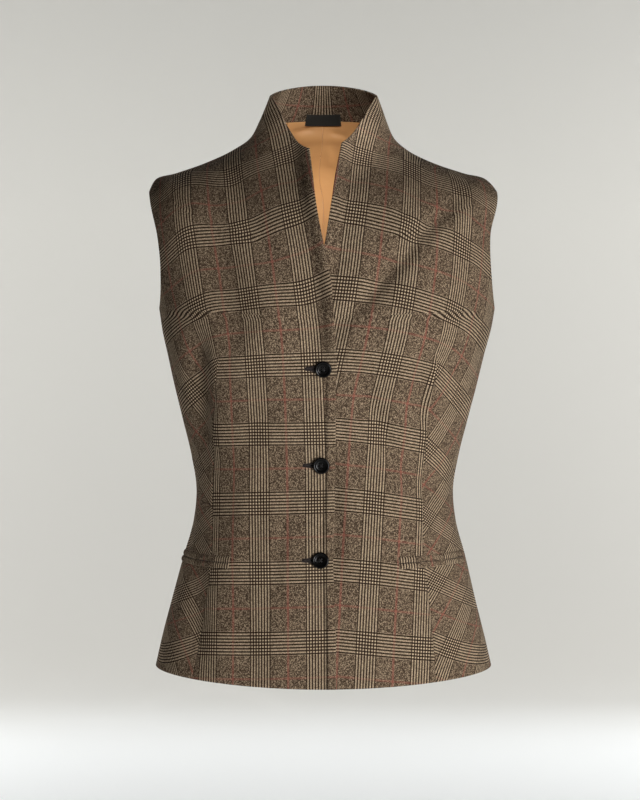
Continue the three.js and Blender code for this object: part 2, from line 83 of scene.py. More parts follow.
# Rings round the garment, hem first, as the solids have them
RINGS = table(
    "side front back width front_depth back_depth seat front_square back_square lean",
    [
        [-545, -559, -547, 182.6, 115, 113, 0, 2.3, 2.3, 2],
        [-512, -521, -513, 175, 111.5, 110, 0, 2.3, 2.3, 2],
        [-469, -474, -469, 164, 107, 104, 0, 2.3, 2.3, 2],
        [-427, -430, -427, 153.5, 102.5, 96, 0, 2.3, 2.3, 2],
        [-387, -388, -387, 142.6, 98, 89, 0, 2.3, 2.3, 2],
        [-355, -355, -355, 139.6, 95.5, 86, 0, 2.3, 2.3, 2],
        [-317, -317, -317, 145.4, 97, 87, 0, 2.3, 2.3, 2],
        [-277, -277, -277, 155.2, 102.5, 91, 0, 2.3, 2.3, 2],
        [-237, -238, -236, 165.3, 109, 96, 0, 2.3, 2.35, 2],
        [-207, -210, -205, 172.2, 113.5, 99, 0, 2.3, 2.4, 2],
        [-181, -187, -177, 178.6, 116, 102, 0, 2.3, 2.4, 2],
        [-159, -170, -152, 182.3, 117, 104.5, 0, 2.3, 2.4, 2],
        [-117, -142, -104, 189.5, 116, 106, 0, 2.3, 2.4, 2],
        [-72, -117, -52, 191.8, 114.5, 103, 0, 2.25, 2.3, 2],
        [-30, -96, -8, 189.2, 112.5, 97, 0, 2.2, 2.2, 2],
        [-17, -85, 4, 180, 111, 93.5, 0, 2.1, 2.1, 2],
        [-10.5, -75, 15, 158, 109.5, 89, 0, 2.0, 2.1, 2],
        [2, -60, 29, 122, 107, 83, 0, 1.85, 2.05, 1.9],
        [15.5, -46, 38, 94.8, 104, 79, 0, 1.7, 2.0, 1.75],
        [28.6, -34, 47, 78.5, 102, 76, 2, 1.55, 2.0, 1.6],
        [46, -18, 56.5, 70, 99.5, 73, 3.2, 1.44, 2.0, 1.45],
        [61, -5, 75, 64.2, 97.5, 68.5, 4.2, 1.36, 2.0, 1.3],
        [76, 7, 95, 58.5, 96, 65, 5, 1.3, 2.0, 1.2],
    ],
)
UNDERARM_RING = 11
SHOULDER_RING = 14
FACING_RING = 20

# Buttons, buttonholes, pockets and label, in millimetres but for the tilts and the counts
BUTTON_WIDTH, BUTTON_HEIGHT, BUTTON_RISE = 17.5, 4.2, 1.2
BUTTON_HEIGHTS = {"top": -224, "middle": -325.5, "bottom": -425.5}
BUTTON_X = {"top": -2.6, "middle": -4.6, "bottom": -5.4}
BUTTON_HOLE, BUTTON_HOLE_SPREAD = 1.6, 3.0
THREAD_WIDTH, THREAD_RISE = 2.6, 0.9
HOLE_INNER, HOLE_OUTER = 2.2, 17.5
POCKET_INNER, POCKET_OUTER = -429, -425
LIP_HEIGHT, LIP_LENGTH, LIP_COLUMNS = 6.2, 100, 10
LABEL_WIDTH, LABEL_HEIGHT, LABEL_MIDDLE, LABEL_THICK = 43, 12.5, 57, 0.8
BUTTON_TILTS = {"top": 0.03, "middle": -0.04, "bottom": 0.05}
BUTTON_AROUND, SHANK_AROUND = 96, 16

# Inside a front, the check shows above this height, in this many first columns, and from the hem
# up to this many millimetres
FACING_LOW, FACING_COLUMNS, HEM_TURNED = 20, 32, 38

# Half a button's section, from the middle of its underside: share of the radius, share of the height
BUTTON_PROFILE = np.array([
    [0, 0], [0.72, 0], [0.96, 0.3], [1, 0.62], [0.95, 0.92], [0.84, 1], [0.7, 0.88], [0.56, 0.66], [0, 0.6],
])

# Front edges and dart seams at each height
TOP_EDGE = table("height x", [
    [-560, 10.6], [-517, 10.6], [-424, 7.8], [-355, 9.6], [-260, 10.6], [-205, 11.2], [-172, 8.3],
    [-138, 6], [-98, -1.6], [-57, -9], [-17, -14.4], [15, -18.5],
])
UNDER_EDGE = table("height x", [
    [-560, -18.5], [-355, -18.5], [-260, -18.5], [-205, -18], [-172, -15], [-138, -10.5],
    [-97, -1.8], [-59, 4.4], [-17, 11], [8, 15.9], [18, 17.8],
])
DART_OF_RIGHT_FRONT = table("height out", [
    [-560, 143], [-472, 131], [-427, 123], [-355, 121], [-290, 122], [-205, 112],
])
DART_OF_LEFT_FRONT = table("height out", [
    [-560, 117], [-472, 110], [-427, 104], [-355, 104.5], [-290, 108], [-225, 118],
])
DART_TOP = -215
DART_TOP_EASE = 70
DART_FADE = 40
DART_GROOVE, DART_GROOVE_ACROSS = 0.9, 0.8
ABOVE_DART = 0.56

BUST_OUT, BUST_HEIGHT, BUST_FULLNESS, BUST_ACROSS = 86, -182, 9, 60
BUST_ABOVE, BUST_BELOW, BUST_FADE = 75, 62, 0.35
ARMHOLE_FRONT, ARMHOLE_BACK, ARMHOLE_SQUARENESS = 0.45, 0.49, 0.8
VENT_HEIGHT, VENT_OPENING = 40, 3.5
EDGE_LAYERS, EDGE_GROOVE, EDGE_WIDTH = (0.5, 2.2), 1.1, 8.0
EDGE_SLOPE, EDGE_GROOVE_ACROSS, EDGE_GROOVE_HEIGHTS = 3.2, 2, (-212, -245)
CLEAR_OF_BUTTONS = (7, 15)
LAP_NEAR, LAP_FAR, LAP_TOP, LAP_BOTTOM = 26, 80, -20, -95

# How far the garment hangs to one side at each height
SWAY = table("height x", [
    [-560, -2.2], [-480, -2.2], [-425, -1.2], [-355, -0.8], [-205, 0.5], [-155, 1.5], [-120, 0.3],
    [-80, -2], [-25, -3.5], [-12, -6], [14, -6], [26, -4], [46, -2.8], [60, -2.2], [95, -2.2],
])

# The fronts turn up beside the neckline's edge, past a soft trough, between these heights.
# The left front turns up less, and goes down where the right one covers it.
ROLL_RISE, ROLL_ACROSS = 8.0, 19
ROLL_TROUGH, ROLL_TROUGH_ACROSS = 3.0, 17
TOP_ROLL_HEIGHTS, UNDER_ROLL_HEIGHTS, ROLL_END_HEIGHTS = (-232, -190), (-130, -85), (48, 0)
UNDER_ROLL_SHARE = 0.7
UNDER_DROP, UNDER_ACROSS = 3.5, 40
UNDER_DROP_TOP, UNDER_DROP_LOW = (-85, -135), (-240, -190)

HALVINGS = 34

# The cosine of the angle over which the folds of the fronts and of the backs begin
FRONT_BEGINS, BACK_BEGINS = (0.03, 0.2), (-0.03, -0.2)

# Soft folds: two ends as distance out and height, depth (minus for a trough) and half width.
# Side -1 is the wearer's right. FOLD_DEPTH multiplies each depth. Near the overlap, between the
# distances out in FOLD_FREE_OF_OVERLAP, a fold towards the other front dies away.
FOLDS = table("side out1 height1 out2 height2 depth spread", [
    [-1, 150, -300, 100, -335, -1.6, 16],
    [-1, 158, -235, 118, -272, -1.5, 15],
    [1, 152, -240, 112, -205, -1.8, 16],
    [1, 150, -330, 95, -352, -1.5, 15],
    [1, 60, -60, 40, -130, -1.4, 20],
    [-1, 62, -40, 38, -120, -1.2, 20],
    [-1, 100, -8, 58, -112, -3.6, 16],
    [-1, 132, -36, 22, -150, -2.4, 13],
    [-1, 138, -190, 134, -320, -7.5, 12],
    [-1, 122, -50, 92, -210, -6.5, 26],
    [-1, 74, -322, 98, -448, 2.2, 13],
    [-1, 34, -335, 60, -490, -1.8, 9],
    [-1, 138, -400, 136, -535, -4.8, 14],
    [-1, 66, -180, 96, -230, 1.4, 14],
    [-1, 52, -250, 84, -300, -1.2, 11],
    [-1, 88, -470, 76, -548, -1.3, 12],
    [1, 149, -34, 12, -180, -6.2, 11],
    [1, 24, -166, 58, -198, -2.2, 11],
    [1, 104, -220, 102, -285, -5.2, 9],
    [1, 88, -256, 72, -278, -1.8, 10],
    [1, 34, -236, 90, -346, -4.4, 11],
    [1, 20, -252, 98, -392, 1.3, 12],
    [1, 8, -320, 10, -450, -5.0, 12],
    [1, 100, -300, 122, -392, -1.5, 11],
    [1, 64, -455, 74, -548, -1.3, 12],
    [1, 96, -18, 62, -66, 1.5, 15],
])
FOLD_FREE_OF_OVERLAP = (14, 30)
FOLD_DEPTH = 1.35
BACK_FOLDS = table("side out1 height1 out2 height2 depth spread", [
    [-1, 30, -330, 130, -372, -1.6, 11],
    [-1, 25, -375, 120, -345, -1.3, 10],
    [1, 28, -345, 128, -380, -1.5, 12],
    [1, 34, -392, 118, -360, -1.2, 10],
    [-1, 150, -150, 90, -235, -1.8, 16],
    [1, 152, -160, 88, -240, -1.7, 16],
    [-1, 20, 5, 95, -40, 1.2, 14],
    [1, 22, 0, 92, -46, 1.2, 14],
    [-1, 12, 47, 34, 44, 1.1, 3.5],
    [1, 10, 43, 28, 39, 1.1, 3.5],
    [1, 7, 28, 13, 8, -1.0, 3.5],
])


def smooth(start, stop, value):
    part = np.clip((value - start) / (stop - start), 0, 1)
    return part * part * (3 - 2 * part)


def mix(low, high, part):
    return low + (high - low) * part


def curve_through(knots, values):
    """A smooth curve through values at rising knots."""
    knots = np.asarray(knots, float)
    values = np.asarray(values, float)
    steps = np.diff(knots)
    tail = (1,) * (values.ndim - 1)
    secants = np.diff(values, axis=0) / steps.reshape(-1, *tail)
    before, after = steps[:-1].reshape(-1, *tail), steps[1:].reshape(-1, *tail)
    inner = (secants[:-1] * after + secants[1:] * before) / (before + after)
    slopes = np.concatenate([secants[:1], inner, secants[-1:]])

    def at(place):
        place = np.clip(place, knots[0], knots[-1])
        i = np.clip(np.searchsorted(knots, place, side="right") - 1, 0, len(steps) - 1)
        step = steps[i].reshape(np.shape(place) + tail)
        s = (place - knots[i]).reshape(np.shape(place) + tail) / step
        start = (1 + 2 * s) * (1 - s) ** 2 * values[i] + s * (1 - s) ** 2 * step * slopes[i]
        end = s * s * (3 - 2 * s) * values[i + 1] + s * s * (s - 1) * step * slopes[i + 1]
        return start + end

    return at


RING_PLACES = np.concatenate([[0], np.cumsum(np.hypot(np.diff(RINGS["width"]), np.diff(RINGS["side"])))])
TOP_PLACE = RING_PLACES[-1]
UNDERARM = RING_PLACES[UNDERARM_RING]
SHOULDER = RING_PLACES[SHOULDER_RING]
FACING_EDGE = RING_PLACES[FACING_RING]
RING_CURVES = {name: curve_through(RING_PLACES, values) for name, values in RINGS.items()}
sway = curve_through(SWAY["height"], SWAY["x"])
top_edge = curve_through(TOP_EDGE["height"], TOP_EDGE["x"])
under_edge = curve_through(UNDER_EDGE["height"], UNDER_EDGE["x"])


def bust_fullness(out, height):
    reach = np.where(height > BUST_HEIGHT, BUST_ABOVE, BUST_BELOW)
    up = np.exp(-(((height - BUST_HEIGHT) / reach) ** 2))
    across = sum(np.exp(-(((out - middle) / BUST_ACROSS) ** 2)) for middle in (BUST_OUT, -BUST_OUT))
    return BUST_FULLNESS * up * across


def plain_form(angle, place):
    """The garment's form: angle 0 is the centre front, two right angles the centre back."""
    angle, place = np.broadcast_arrays(np.asarray(angle, float), np.asarray(place, float))
    ring = {name: curve(place) for name, curve in RING_CURVES.items()}
    sine, cosine = np.sin(angle), np.cos(angle)
    in_front = cosine >= 0
    square = np.where(in_front, ring["front_square"], ring["back_square"])
    reach = (np.abs(sine) ** square + np.abs(cosine) ** square) ** (-1 / square)
    centre = np.where(in_front, ring["front"], ring["back"])
    depth = np.where(in_front, ring["front_depth"], ring["back_depth"])
    out = ring["width"] * reach * sine
    height = mix(ring["side"], centre, np.abs(cosine) ** ring["lean"])
    fullness = bust_fullness(out, height) * smooth(0, BUST_FADE, cosine)
    return np.stack([out, ring["seat"] - depth * reach * cosine - fullness, height], -1)


def form_axes(angle, place):
    """The way out of the form, and how many millimetres a radian is."""
    turn, rise = 0.004, 0.6
    around = plain_form(angle + turn, place) - plain_form(angle - turn, place)
    low, high = np.maximum(0, place - rise), np.minimum(TOP_PLACE, place + rise)
    normal = np.cross(around, plain_form(angle, high) - plain_form(angle, low))
    normal /= np.linalg.norm(normal, axis=-1, keepdims=True)
    return normal, np.linalg.norm(around, axis=-1) / (2 * turn)


def fold_depth(folds, side, out, height):
    depth = np.zeros_like(out)
    for k in np.flatnonzero(folds["side"] == side):
        fold = {name: values[k] for name, values in folds.items()}
        along_x = fold["out2"] - fold["out1"]
        along_z = fold["height2"] - fold["height1"]
        length = math.hypot(along_x, along_z)
        past = out - fold["out1"], height - fold["height1"]
        along = (past[0] * along_x + past[1] * along_z) / length**2
        off = (past[0] * along_z - past[1] * along_x) / length
        fading = (off / fold["spread"]) ** 2 + (np.abs(along - 0.5) * 2) ** 4
        depth += FOLD_DEPTH * fold["depth"] * np.exp(-fading)
    return depth


def neckline_roll(side, out, height):
    """How far a front turns up beside the neckline's edge."""
    if side < 0:
        beyond = out + top_edge(height) - sway(height)
        low = smooth(*TOP_ROLL_HEIGHTS, height)
    else:
        beyond = out - under_edge(height) + sway(height)
        low = smooth(*UNDER_ROLL_HEIGHTS, height)
    roll = ROLL_RISE * (1 - smooth(0, ROLL_ACROSS, beyond))
    roll -= ROLL_TROUGH * np.exp(-(((beyond - ROLL_ACROSS) / ROLL_TROUGH_ACROSS) ** 2))
    roll *= low * smooth(*ROLL_END_HEIGHTS, height)
    if side < 0:
        return roll
    under = smooth(*UNDER_DROP_TOP, height) * smooth(*UNDER_DROP_LOW, height)
    return roll * UNDER_ROLL_SHARE - UNDER_DROP * (1 - smooth(0, UNDER_ACROSS, out)) * under


def cloth_point(side, angle, place):
    """Points of the cloth as if on the wearer's left half, and the way out of it."""
    normal, speed = form_axes(angle, place)
    point = plain_form(angle, place)
    front = fold_depth(FOLDS, side, point[..., 0], point[..., 2])
    towards_other = side * front > 0
    front *= np.where(towards_other, smooth(*FOLD_FREE_OF_OVERLAP, point[..., 0]), 1)
    roll = neckline_roll(side, point[..., 0], point[..., 2])
    back = fold_depth(BACK_FOLDS, side, point[..., 0], point[..., 2])
    at_front = smooth(*FRONT_BEGINS, np.cos(angle))
    at_back = smooth(*BACK_BEGINS, np.cos(angle))
    point = point + normal * (front * at_front + back * at_back)[..., None]
    point[..., 1] -= roll * at_front
    point[..., 0] += side * sway(point[..., 2])
    return point, normal, speed


def halve(low, high, is_below):
    """Where is_below turns false between low and high."""
    for _ in range(HALVINGS):
        middle = (low + high) / 2
        below = is_below(middle)
        low, high = np.where(below, middle, low), np.where(below, high, middle)
    return (low + high) / 2


def angle_at_line(place, out_at_height, low, high):
    place = np.asarray(place, float)

    def is_below(angle):
        point = plain_form(angle, place)
        return point[..., 0] < out_at_height(point[..., 2])

    return halve(np.full(place.shape, low), np.full(place.shape, high), is_below)


def place_at_height(angle, height):
    angle, height = np.broadcast_arrays(np.asarray(angle, float), np.asarray(height, float))
    return halve(np.zeros(angle.shape), np.full(angle.shape, TOP_PLACE),
                 lambda place: plain_form(angle, place)[..., 2] < height)


def locate(out, height):
    """The angle and place of points on a front given by distance out and height."""
    angle = np.zeros(np.broadcast(out, height).shape)
    for _ in range(4):
        place = place_at_height(angle, height)
        angle = angle_at_line(place, lambda _: out, -0.3, 1.5)
    return angle, place


def armhole_reach(place, largest):
    up = np.clip(2 * (place - UNDERARM) / (SHOULDER - UNDERARM) - 1, -1, 1)
    return largest * (1 - up * up) ** (ARMHOLE_SQUARENESS / 2)


class Front:
    """One front: which side it is on, its edge, its dart, and whether it laps on top."""

    def __init__(self, name, side, edge, dart, on_top, pocket_start):
        self.name = name
        self.side = side
        self.edge = curve_through(edge["height"], edge["x"])
        self.dart = curve_through(dart["height"], dart["out"])
        self.on_top = on_top
        self.pocket_start = pocket_start

    def raise_of(self, out, height):
        """The lapping front lies on the other one, and eases down away from its edge."""
        if not self.on_top:
            return np.zeros(np.shape(out))
        across = smooth(LAP_FAR, LAP_NEAR, out)
        return OVERLAP_RAISE * across * smooth(LAP_TOP, LAP_BOTTOM, height)

    def edge_layers(self, out, height):
        """The turned edge is thicker, and below the neckline a soft groove runs beside it."""
        beyond = out - self.side * self.edge(height)
        below = smooth(*EDGE_GROOVE_HEIGHTS, height) * self.on_top
        for name, button_height in BUTTON_HEIGHTS.items():
            away = np.hypot(out + BUTTON_X[name], height - button_height)
            below = below * smooth(*CLEAR_OF_BUTTONS, away)
        thick = mix(*EDGE_LAYERS, below) * smooth(EDGE_WIDTH + EDGE_SLOPE, EDGE_WIDTH, beyond)
        off_groove = (beyond - EDGE_WIDTH - EDGE_SLOPE) / EDGE_GROOVE_ACROSS
        return thick - EDGE_GROOVE * below * np.exp(-(off_groove**2))

    def angles(self, place):
        """Angles of the front edge, the dart seam's column and the side edge at each place."""
        first = angle_at_line(place, lambda z: self.side * (self.edge(z) - sway(z)), -0.35, 0.9)
        last = RIGHT_ANGLE - armhole_reach(place, ARMHOLE_FRONT)
        on_dart = angle_at_line(place, lambda z: self.dart(z) - self.side * sway(z), 0.2, 1.5)
        easing = smooth(DART_TOP, DART_TOP + DART_TOP_EASE, plain_form(on_dart, place)[..., 2])
        seam = mix(on_dart, mix(first, last, ABOVE_DART), easing)
        above_hem = plain_form(last, place)[..., 2] - RINGS["side"][0]
        vent = VENT_OPENING * np.maximum(0, 1 - above_hem / VENT_HEIGHT)
        return first, seam, last - (CLOSED_SEAM + vent) / form_axes(RIGHT_ANGLE, place)[1]


FRONTS = {
    "right": Front("right", -1, TOP_EDGE, DART_OF_RIGHT_FRONT, True, 101),
    "left": Front("left", 1, UNDER_EDGE, DART_OF_LEFT_FRONT, False, 77),
}

# How the check's threads run over the cloth: at a distance out and a height, how far a weft rises
# for each millimetre outwards seen from the front, and how far the warp leans outwards for each
# millimetre up. Part 0 is above the dart, 1 is its centre side and 2 its far side.
GRAIN = {
    "front_right": table("part out height rise lean", [
        [0, 27, -7, -0.27, 0.1], [0, 66, -15, -0.5, 0.15], [0, 90, -32, -0.55, 0.2],
        [0, 127, -38, 0.05, 0.12], [0, 171, -46, -0.9, 0.1], [0, 16, -74, -0.3, 0.14],
        [0, 48, -87, -0.25, 0.15], [0, 101, -97, 0, 0.18], [0, 134, -93, 0.12, 0.15],
        [0, 160, -105, -1, 0.15], [0, 6, -144, -0.35, 0.1], [0, 42, -152, 0, 0.12],
        [0, 111, -151, 0.02, 0.08], [0, 133, -157, -0.45, 0.15], [0, 160, -177, -0.75, 0.3],
        [1, 27, -218, 0, 0.04], [1, 101, -217, -0.02, 0.05], [1, 48, -292, 0, 0.03],
        [1, 107, -293, -0.02, 0.04], [1, 48, -366, -0.04, 0], [1, 116, -371, -0.05, 0],
        [1, 48, -440, -0.03, 0], [1, 116, -444, -0.04, 0], [1, 48, -513, -0.04, 0],
        [1, 127, -516, -0.03, 0], [2, 128, -231, -0.9, 0.4], [2, 150, -261, -1.3, 0.5],
        [2, 131, -325, -1.5, 0.55], [2, 135, -395, -1.3, 0.5], [2, 146, -470, -0.8, 0.4],
        [2, 154, -541, -0.7, 0.35],
    ]),
    "front_left": table("part out height rise lean", [
        [0, 20, -2, -0.15, 0.12], [0, 62, -14, -0.35, 0.1], [0, 93, -30, -0.55, 0.08],
        [0, 130, -42, -0.15, 0.06], [0, 171, -52, -0.9, 0.1], [0, 15, -75, -0.1, 0.18],
        [0, 57, -81, -0.2, 0.1], [0, 109, -92, -0.22, 0.07], [0, 147, -104, -0.35, 0.08],
        [0, 172, -121, -1, 0.15], [0, 20, -145, -0.04, 0.18], [0, 67, -149, -0.13, 0.15],
        [0, 109, -158, -0.25, 0.12], [0, 141, -170, -0.4, 0.15], [0, 167, -191, -0.9, 0.3],
        [1, 25, -217, -0.03, 0.2], [1, 67, -221, -0.13, 0.22], [1, 103, -230, -0.25, 0.3],
        [1, 25, -288, -0.1, 0.05], [1, 77, -299, -0.2, 0.08], [1, 25, -362, -0.1, 0.05],
        [1, 83, -371, -0.17, 0.05], [1, 25, -433, -0.1, 0.05], [1, 88, -443, -0.17, 0.05],
        [1, 25, -508, -0.1, 0.05], [1, 93, -517, -0.1, 0.05], [2, 136, -252, -1.3, 0.5],
        [2, 118, -312, -1, 0.5], [2, 120, -396, -1, 0.5], [2, 130, -467, -0.65, 0.4],
        [2, 130, -539, -0.5, 0.35],
    ]),
    "back": table("part out height rise lean", [
        [0, 20, -10, 0, 0.02], [0, 120, -30, -0.12, 0.06], [0, 160, -100, -0.15, 0.08],
        [0, 20, -200, 0, 0], [0, 130, -250, 0.1, 0.06], [0, 20, -360, 0, 0], [0, 110, -360, 0, 0],
        [0, 20, -520, 0, 0], [0, 140, -500, -0.1, -0.06],
    ]),
    "plain": table("part out height rise lean", [[0, 0, 0, 0, 0]]),
}

# How near a known place of the threads has to be to count, in millimetres, and how softly
THREAD_REACH, THREAD_SOFTNESS = 20, 0.3

# Columns and rows of the fine cloth, closer together at its turned edges and along the dart
STEP = 2.8
NEAR_COLUMNS, FAR_COLUMNS, BACK_COLUMNS, LINING_COLUMNS = 42, 34, 66, 60
COLLAR_COLUMNS, COLLAR_ROWS = 90, 14
COARSE_NEAR, COARSE_FAR, COARSE_BACK = 14, 11, 18
RIM_STEPS = np.array([0, 0.12, 0.35, 0.7, 1.2, 2.2])
DART_STEPS = np.array([0, 0.5, 1.0, 1.6, 2.6])
EDGE_STEPS = np.concatenate([RIM_STEPS, np.arange(3.4, 13, 1.3)])
FLAT_STEP = 11
ARMHOLE_HALF = (SHOULDER - UNDERARM) / 2
LEAST_FACING = 0.45


def quads(grid):
    """The values at the four corners of each square of a grid."""
    return np.stack([grid[:-1, :-1], grid[:-1, 1:], grid[1:, 1:], grid[1:, :-1]], 2)


def row_turn(place):
    """Rows are even in this, so that they are closer together at both ends of the armhole."""
    inside = np.arcsin(np.clip((place - UNDERARM) / ARMHOLE_HALF - 1, -1, 1)) + RIGHT_ANGLE
    above = np.maximum(0, place - SHOULDER)
    return np.minimum(place, UNDERARM) + ARMHOLE_HALF * inside + above


def place_of(turn):
    inside = np.clip((turn - UNDERARM) / ARMHOLE_HALF - RIGHT_ANGLE, -RIGHT_ANGLE, RIGHT_ANGLE)
    above = np.maximum(0, turn - UNDERARM - 2 * RIGHT_ANGLE * ARMHOLE_HALF)
    return np.minimum(turn, UNDERARM) + ARMHOLE_HALF * (np.sin(inside) + 1) + above


def rimmed(start, stop, first_steps, last_steps, count):
    middle = np.linspace(start + first_steps[-1], stop - last_steps[-1], count)
    return np.concatenate([start + first_steps[:-1], middle, (stop - last_steps[:-1])[::-1]])


def panel_turns(start=0.0, stop=TOP_PLACE, step=STEP):
    low, high = row_turn(start), row_turn(stop)
    return rimmed(low, high, RIM_STEPS, RIM_STEPS, round((high - low) / step))


def stretch_columns(places, start, stop, first_steps, last_steps, count):
    """Even columns between two angles at each place: the angles, and millimetres from the start."""
    samples = np.linspace(0, 1, 48)
    angles = mix(start[:, None], stop[:, None], samples)
    points = plain_form(angles, places[:, None])
    steps = np.linalg.norm(np.diff(points, axis=1), axis=-1)
    lengths = np.concatenate([np.zeros((len(places), 1)), np.cumsum(steps, axis=1)], axis=1)
    rows = [rimmed(0, length[-1], first_steps, last_steps, count) for length in lengths]
    turned = [np.interp(row, length, angle) for row, length, angle in zip(rows, lengths, angles)]
    return np.array(turned), np.array(rows)


def thread_slopes(grain, part, out, height):
    """The rise of the wefts and the lean of the warp, weighted by how near each known place is."""
    near = (grain["part"] == 0) | (grain["part"] == part) | (height[..., None] > DART_TOP)
    away = (out[..., None] - grain["out"]) ** 2 + (height[..., None] - grain["height"]) ** 2
    away = away / THREAD_REACH**2
    weight = near / (away + THREAD_SOFTNESS) ** 2
    weight /= weight.sum(-1, keepdims=True)
    return weight @ grain["rise"], weight @ grain["lean"]


def thread_axes(grain, part, point, normal):
    """The ways of the weft and the warp on the cloth."""
    level = np.cross([0.0, 0.0, 1.0], normal)
    level /= np.linalg.norm(level, axis=-1, keepdims=True)
    up = np.cross(normal, level)
    rise, lean = thread_slopes(grain, part, point[..., 0], point[..., 2])
    turn = np.arctan2(rise * level[..., 0], up[..., 2] - rise * up[..., 0])[..., None]
    tilt = np.arctan2(lean * up[..., 2] - up[..., 0], np.maximum(level[..., 0], LEAST_FACING))[..., None]
    return np.cos(turn) * level + np.sin(turn) * up, np.sin(tilt) * level + np.cos(tilt) * up


def thread_places(grain, point, normal, slit_column=0, slit_rows=0):
    """Where points of cloth are on its flat threads, in millimetres across and up.

    The cloth is slit up to slit_rows along slit_column. Gives the places with the slit's near side
    and with its far side. They are the ones whose steps from point to point suit the threads best."""
    rows, columns = point.shape[:2]
    near = np.arange(rows * columns).reshape(rows, columns)
    far = near.copy()
    far[:slit_rows, slit_column] = rows * columns + np.arange(slit_rows)
    count = rows * columns + slit_rows
    stiffness, pull = np.zeros((count, count)), np.zeros((count, 2))
    for part, index, span in ((1, near, slice(0, slit_column + 1)), (2, far, slice(slit_column, None))):
        index, points, normals = index[:, span], point[:, span], normal[:, span]
        if index.shape[1] < 2:
            continue
        weft, warp = thread_axes(grain, part, points, normals)
        low, high, whole = slice(0, -1), slice(1, None), slice(None)
        for start, stop in (((whole, low), (whole, high)), ((low, whole), (high, whole)),
                            ((low, low), (high, high)), ((low, high), (high, low))):
            step = points[stop] - points[start]
            across, up = weft[start] + weft[stop], warp[start] + warp[stop]
            out = normals[start] + normals[stop]
            across /= np.linalg.norm(across, axis=-1, keepdims=True)
            up /= np.linalg.norm(up, axis=-1, keepdims=True)
            square = (np.cross(across, up) * out).sum(-1)
            moved = [(np.cross(*pair) * out).sum(-1) for pair in ((step, up), (across, step))]
            moved = (np.stack(moved, -1) / square[..., None]).reshape(-1, 2)
            weight = 1 / np.linalg.norm(step, axis=-1).ravel()
            a, b = index[start].ravel(), index[stop].ravel()
            np.add.at(stiffness, (a, a), weight)
            np.add.at(stiffness, (b, b), weight)
            np.add.at(stiffness, (a, b), -weight)
            np.add.at(stiffness, (b, a), -weight)
            np.add.at(pull, b, weight[:, None] * moved)
            np.add.at(pull, a, -weight[:, None] * moved)
    stiffness[0, 0] += 1
    flat = np.linalg.solve(stiffness, pull)
    return flat[near], flat[far]


def sheet_size(point, flats):
    """The cloth's area in square millimetres, and the width and length that it is cut from."""
    a, b = point[1:, 1:] - point[:-1, :-1], point[1:, :-1] - point[:-1, 1:]
    area = np.linalg.norm(np.cross(a, b), axis=-1).sum() / 2
    return area, np.ptp(np.concatenate([flat.reshape(-1, 2) for flat in flats]), axis=0)


def resampled(flat, knots, parts):
    """Flat points of coarse rows and columns, at finer ones: parts is a row's places along it."""
    return np.array([curve_through(knots, row)(part) for row, part in zip(flat, parts)])


def new_piece(name, vertices, faces, places, slots, materials):
    """A smooth mesh with its places on the cloth at each corner of its faces."""
    mesh = bpy.data.meshes.new(name)
    mesh.from_pydata(vertices, [], faces)
    mesh.uv_layers.new(name=CLOTH_MAP).uv.foreach_set("vector", places.astype(np.float32).ravel())
    for material in materials:
        mesh.materials.append(material)
    mesh.polygons.foreach_set("material_index", slots)
    mesh.polygons.foreach_set("use_smooth", np.ones(len(faces), bool))
    mesh.update()
    piece = bpy.data.objects.new(name, mesh)
    bpy.context.scene.collection.objects.link(piece)
    return piece


class Panel:
    """A sheet of cloth as rows and columns of points, with the flat cut's places at each face."""

    def __init__(self, point, normal, outer, inner, flat, side=1):
        self.point = point.copy()
        self.normal = normal.copy()
        if side < 0:
            self.point[..., 0] *= -1
            self.normal[..., 0] *= -1
        self.outer = outer
        self.inner = inner
        self.flat = flat
        self.side = side

    def mesh(self, name, materials, inner_slots=None):
        """A closed thin shell: outer face, inner face and turned edges."""
        rows, columns = self.outer.shape
        outside = self.point + self.normal * self.outer[..., None]
        inside = self.point + self.normal * self.inner[..., None]
        outer_index = np.arange(rows * columns).reshape(rows, columns)
        inner_index = outer_index.copy()
        inner_count = (rows - 2) * (columns - 2)
        inner_index[1:-1, 1:-1] = rows * columns + np.arange(inner_count).reshape(rows - 2, -1)
        vertices = np.concatenate([outside.reshape(-1, 3), inside[1:-1, 1:-1].reshape(-1, 3)]) * METRE
        outer_faces = quads(outer_index).reshape(-1, 4)
        faces = np.concatenate([outer_faces, quads(inner_index).reshape(-1, 4)[:, ::-1]])
        flat = self.flat.reshape(-1, 4, 2)
        places = np.concatenate([flat, flat[:, ::-1]])
        if self.side < 0:
            faces, places = faces[:, ::-1], places[:, ::-1]
        slots = np.zeros(len(faces), np.int32)
        if inner_slots is not None:
            slots[len(outer_faces):] = inner_slots.ravel()
        return new_piece(name, vertices.tolist(), faces.tolist(), places * METRE, slots, materials)


def corners_of(flat_near, flat_far, slit):
    """Each face's four places on the flat cut, with the far side of the slit beyond its column."""
    return np.concatenate([quads(flat_near)[:, :slit], quads(flat_far)[:, slit:]], axis=1)


def turned_edge(distance, thickness):
    """How far a face drops towards the middle of the cloth near its turned edge."""
    radius = thickness / 2
    inside = np.clip(radius - distance, 0, radius)
    return radius - np.sqrt(radius * radius - inside * inside)


def edge_distance(places, across, across_end):
    rows = np.minimum(places - places[0], places[-1] - places)[:, None]
    return np.minimum(np.minimum(rows, across), across_end)


# Where two bands of the check cross on each panel: distance out and height
CHECK_PLACES = {
    "front_right": (11.5, -291.9),
    "front_left": (54.4, -291.5),
    "back_right": (30, -291.9),
    "back_left": (30, -291.9),
}


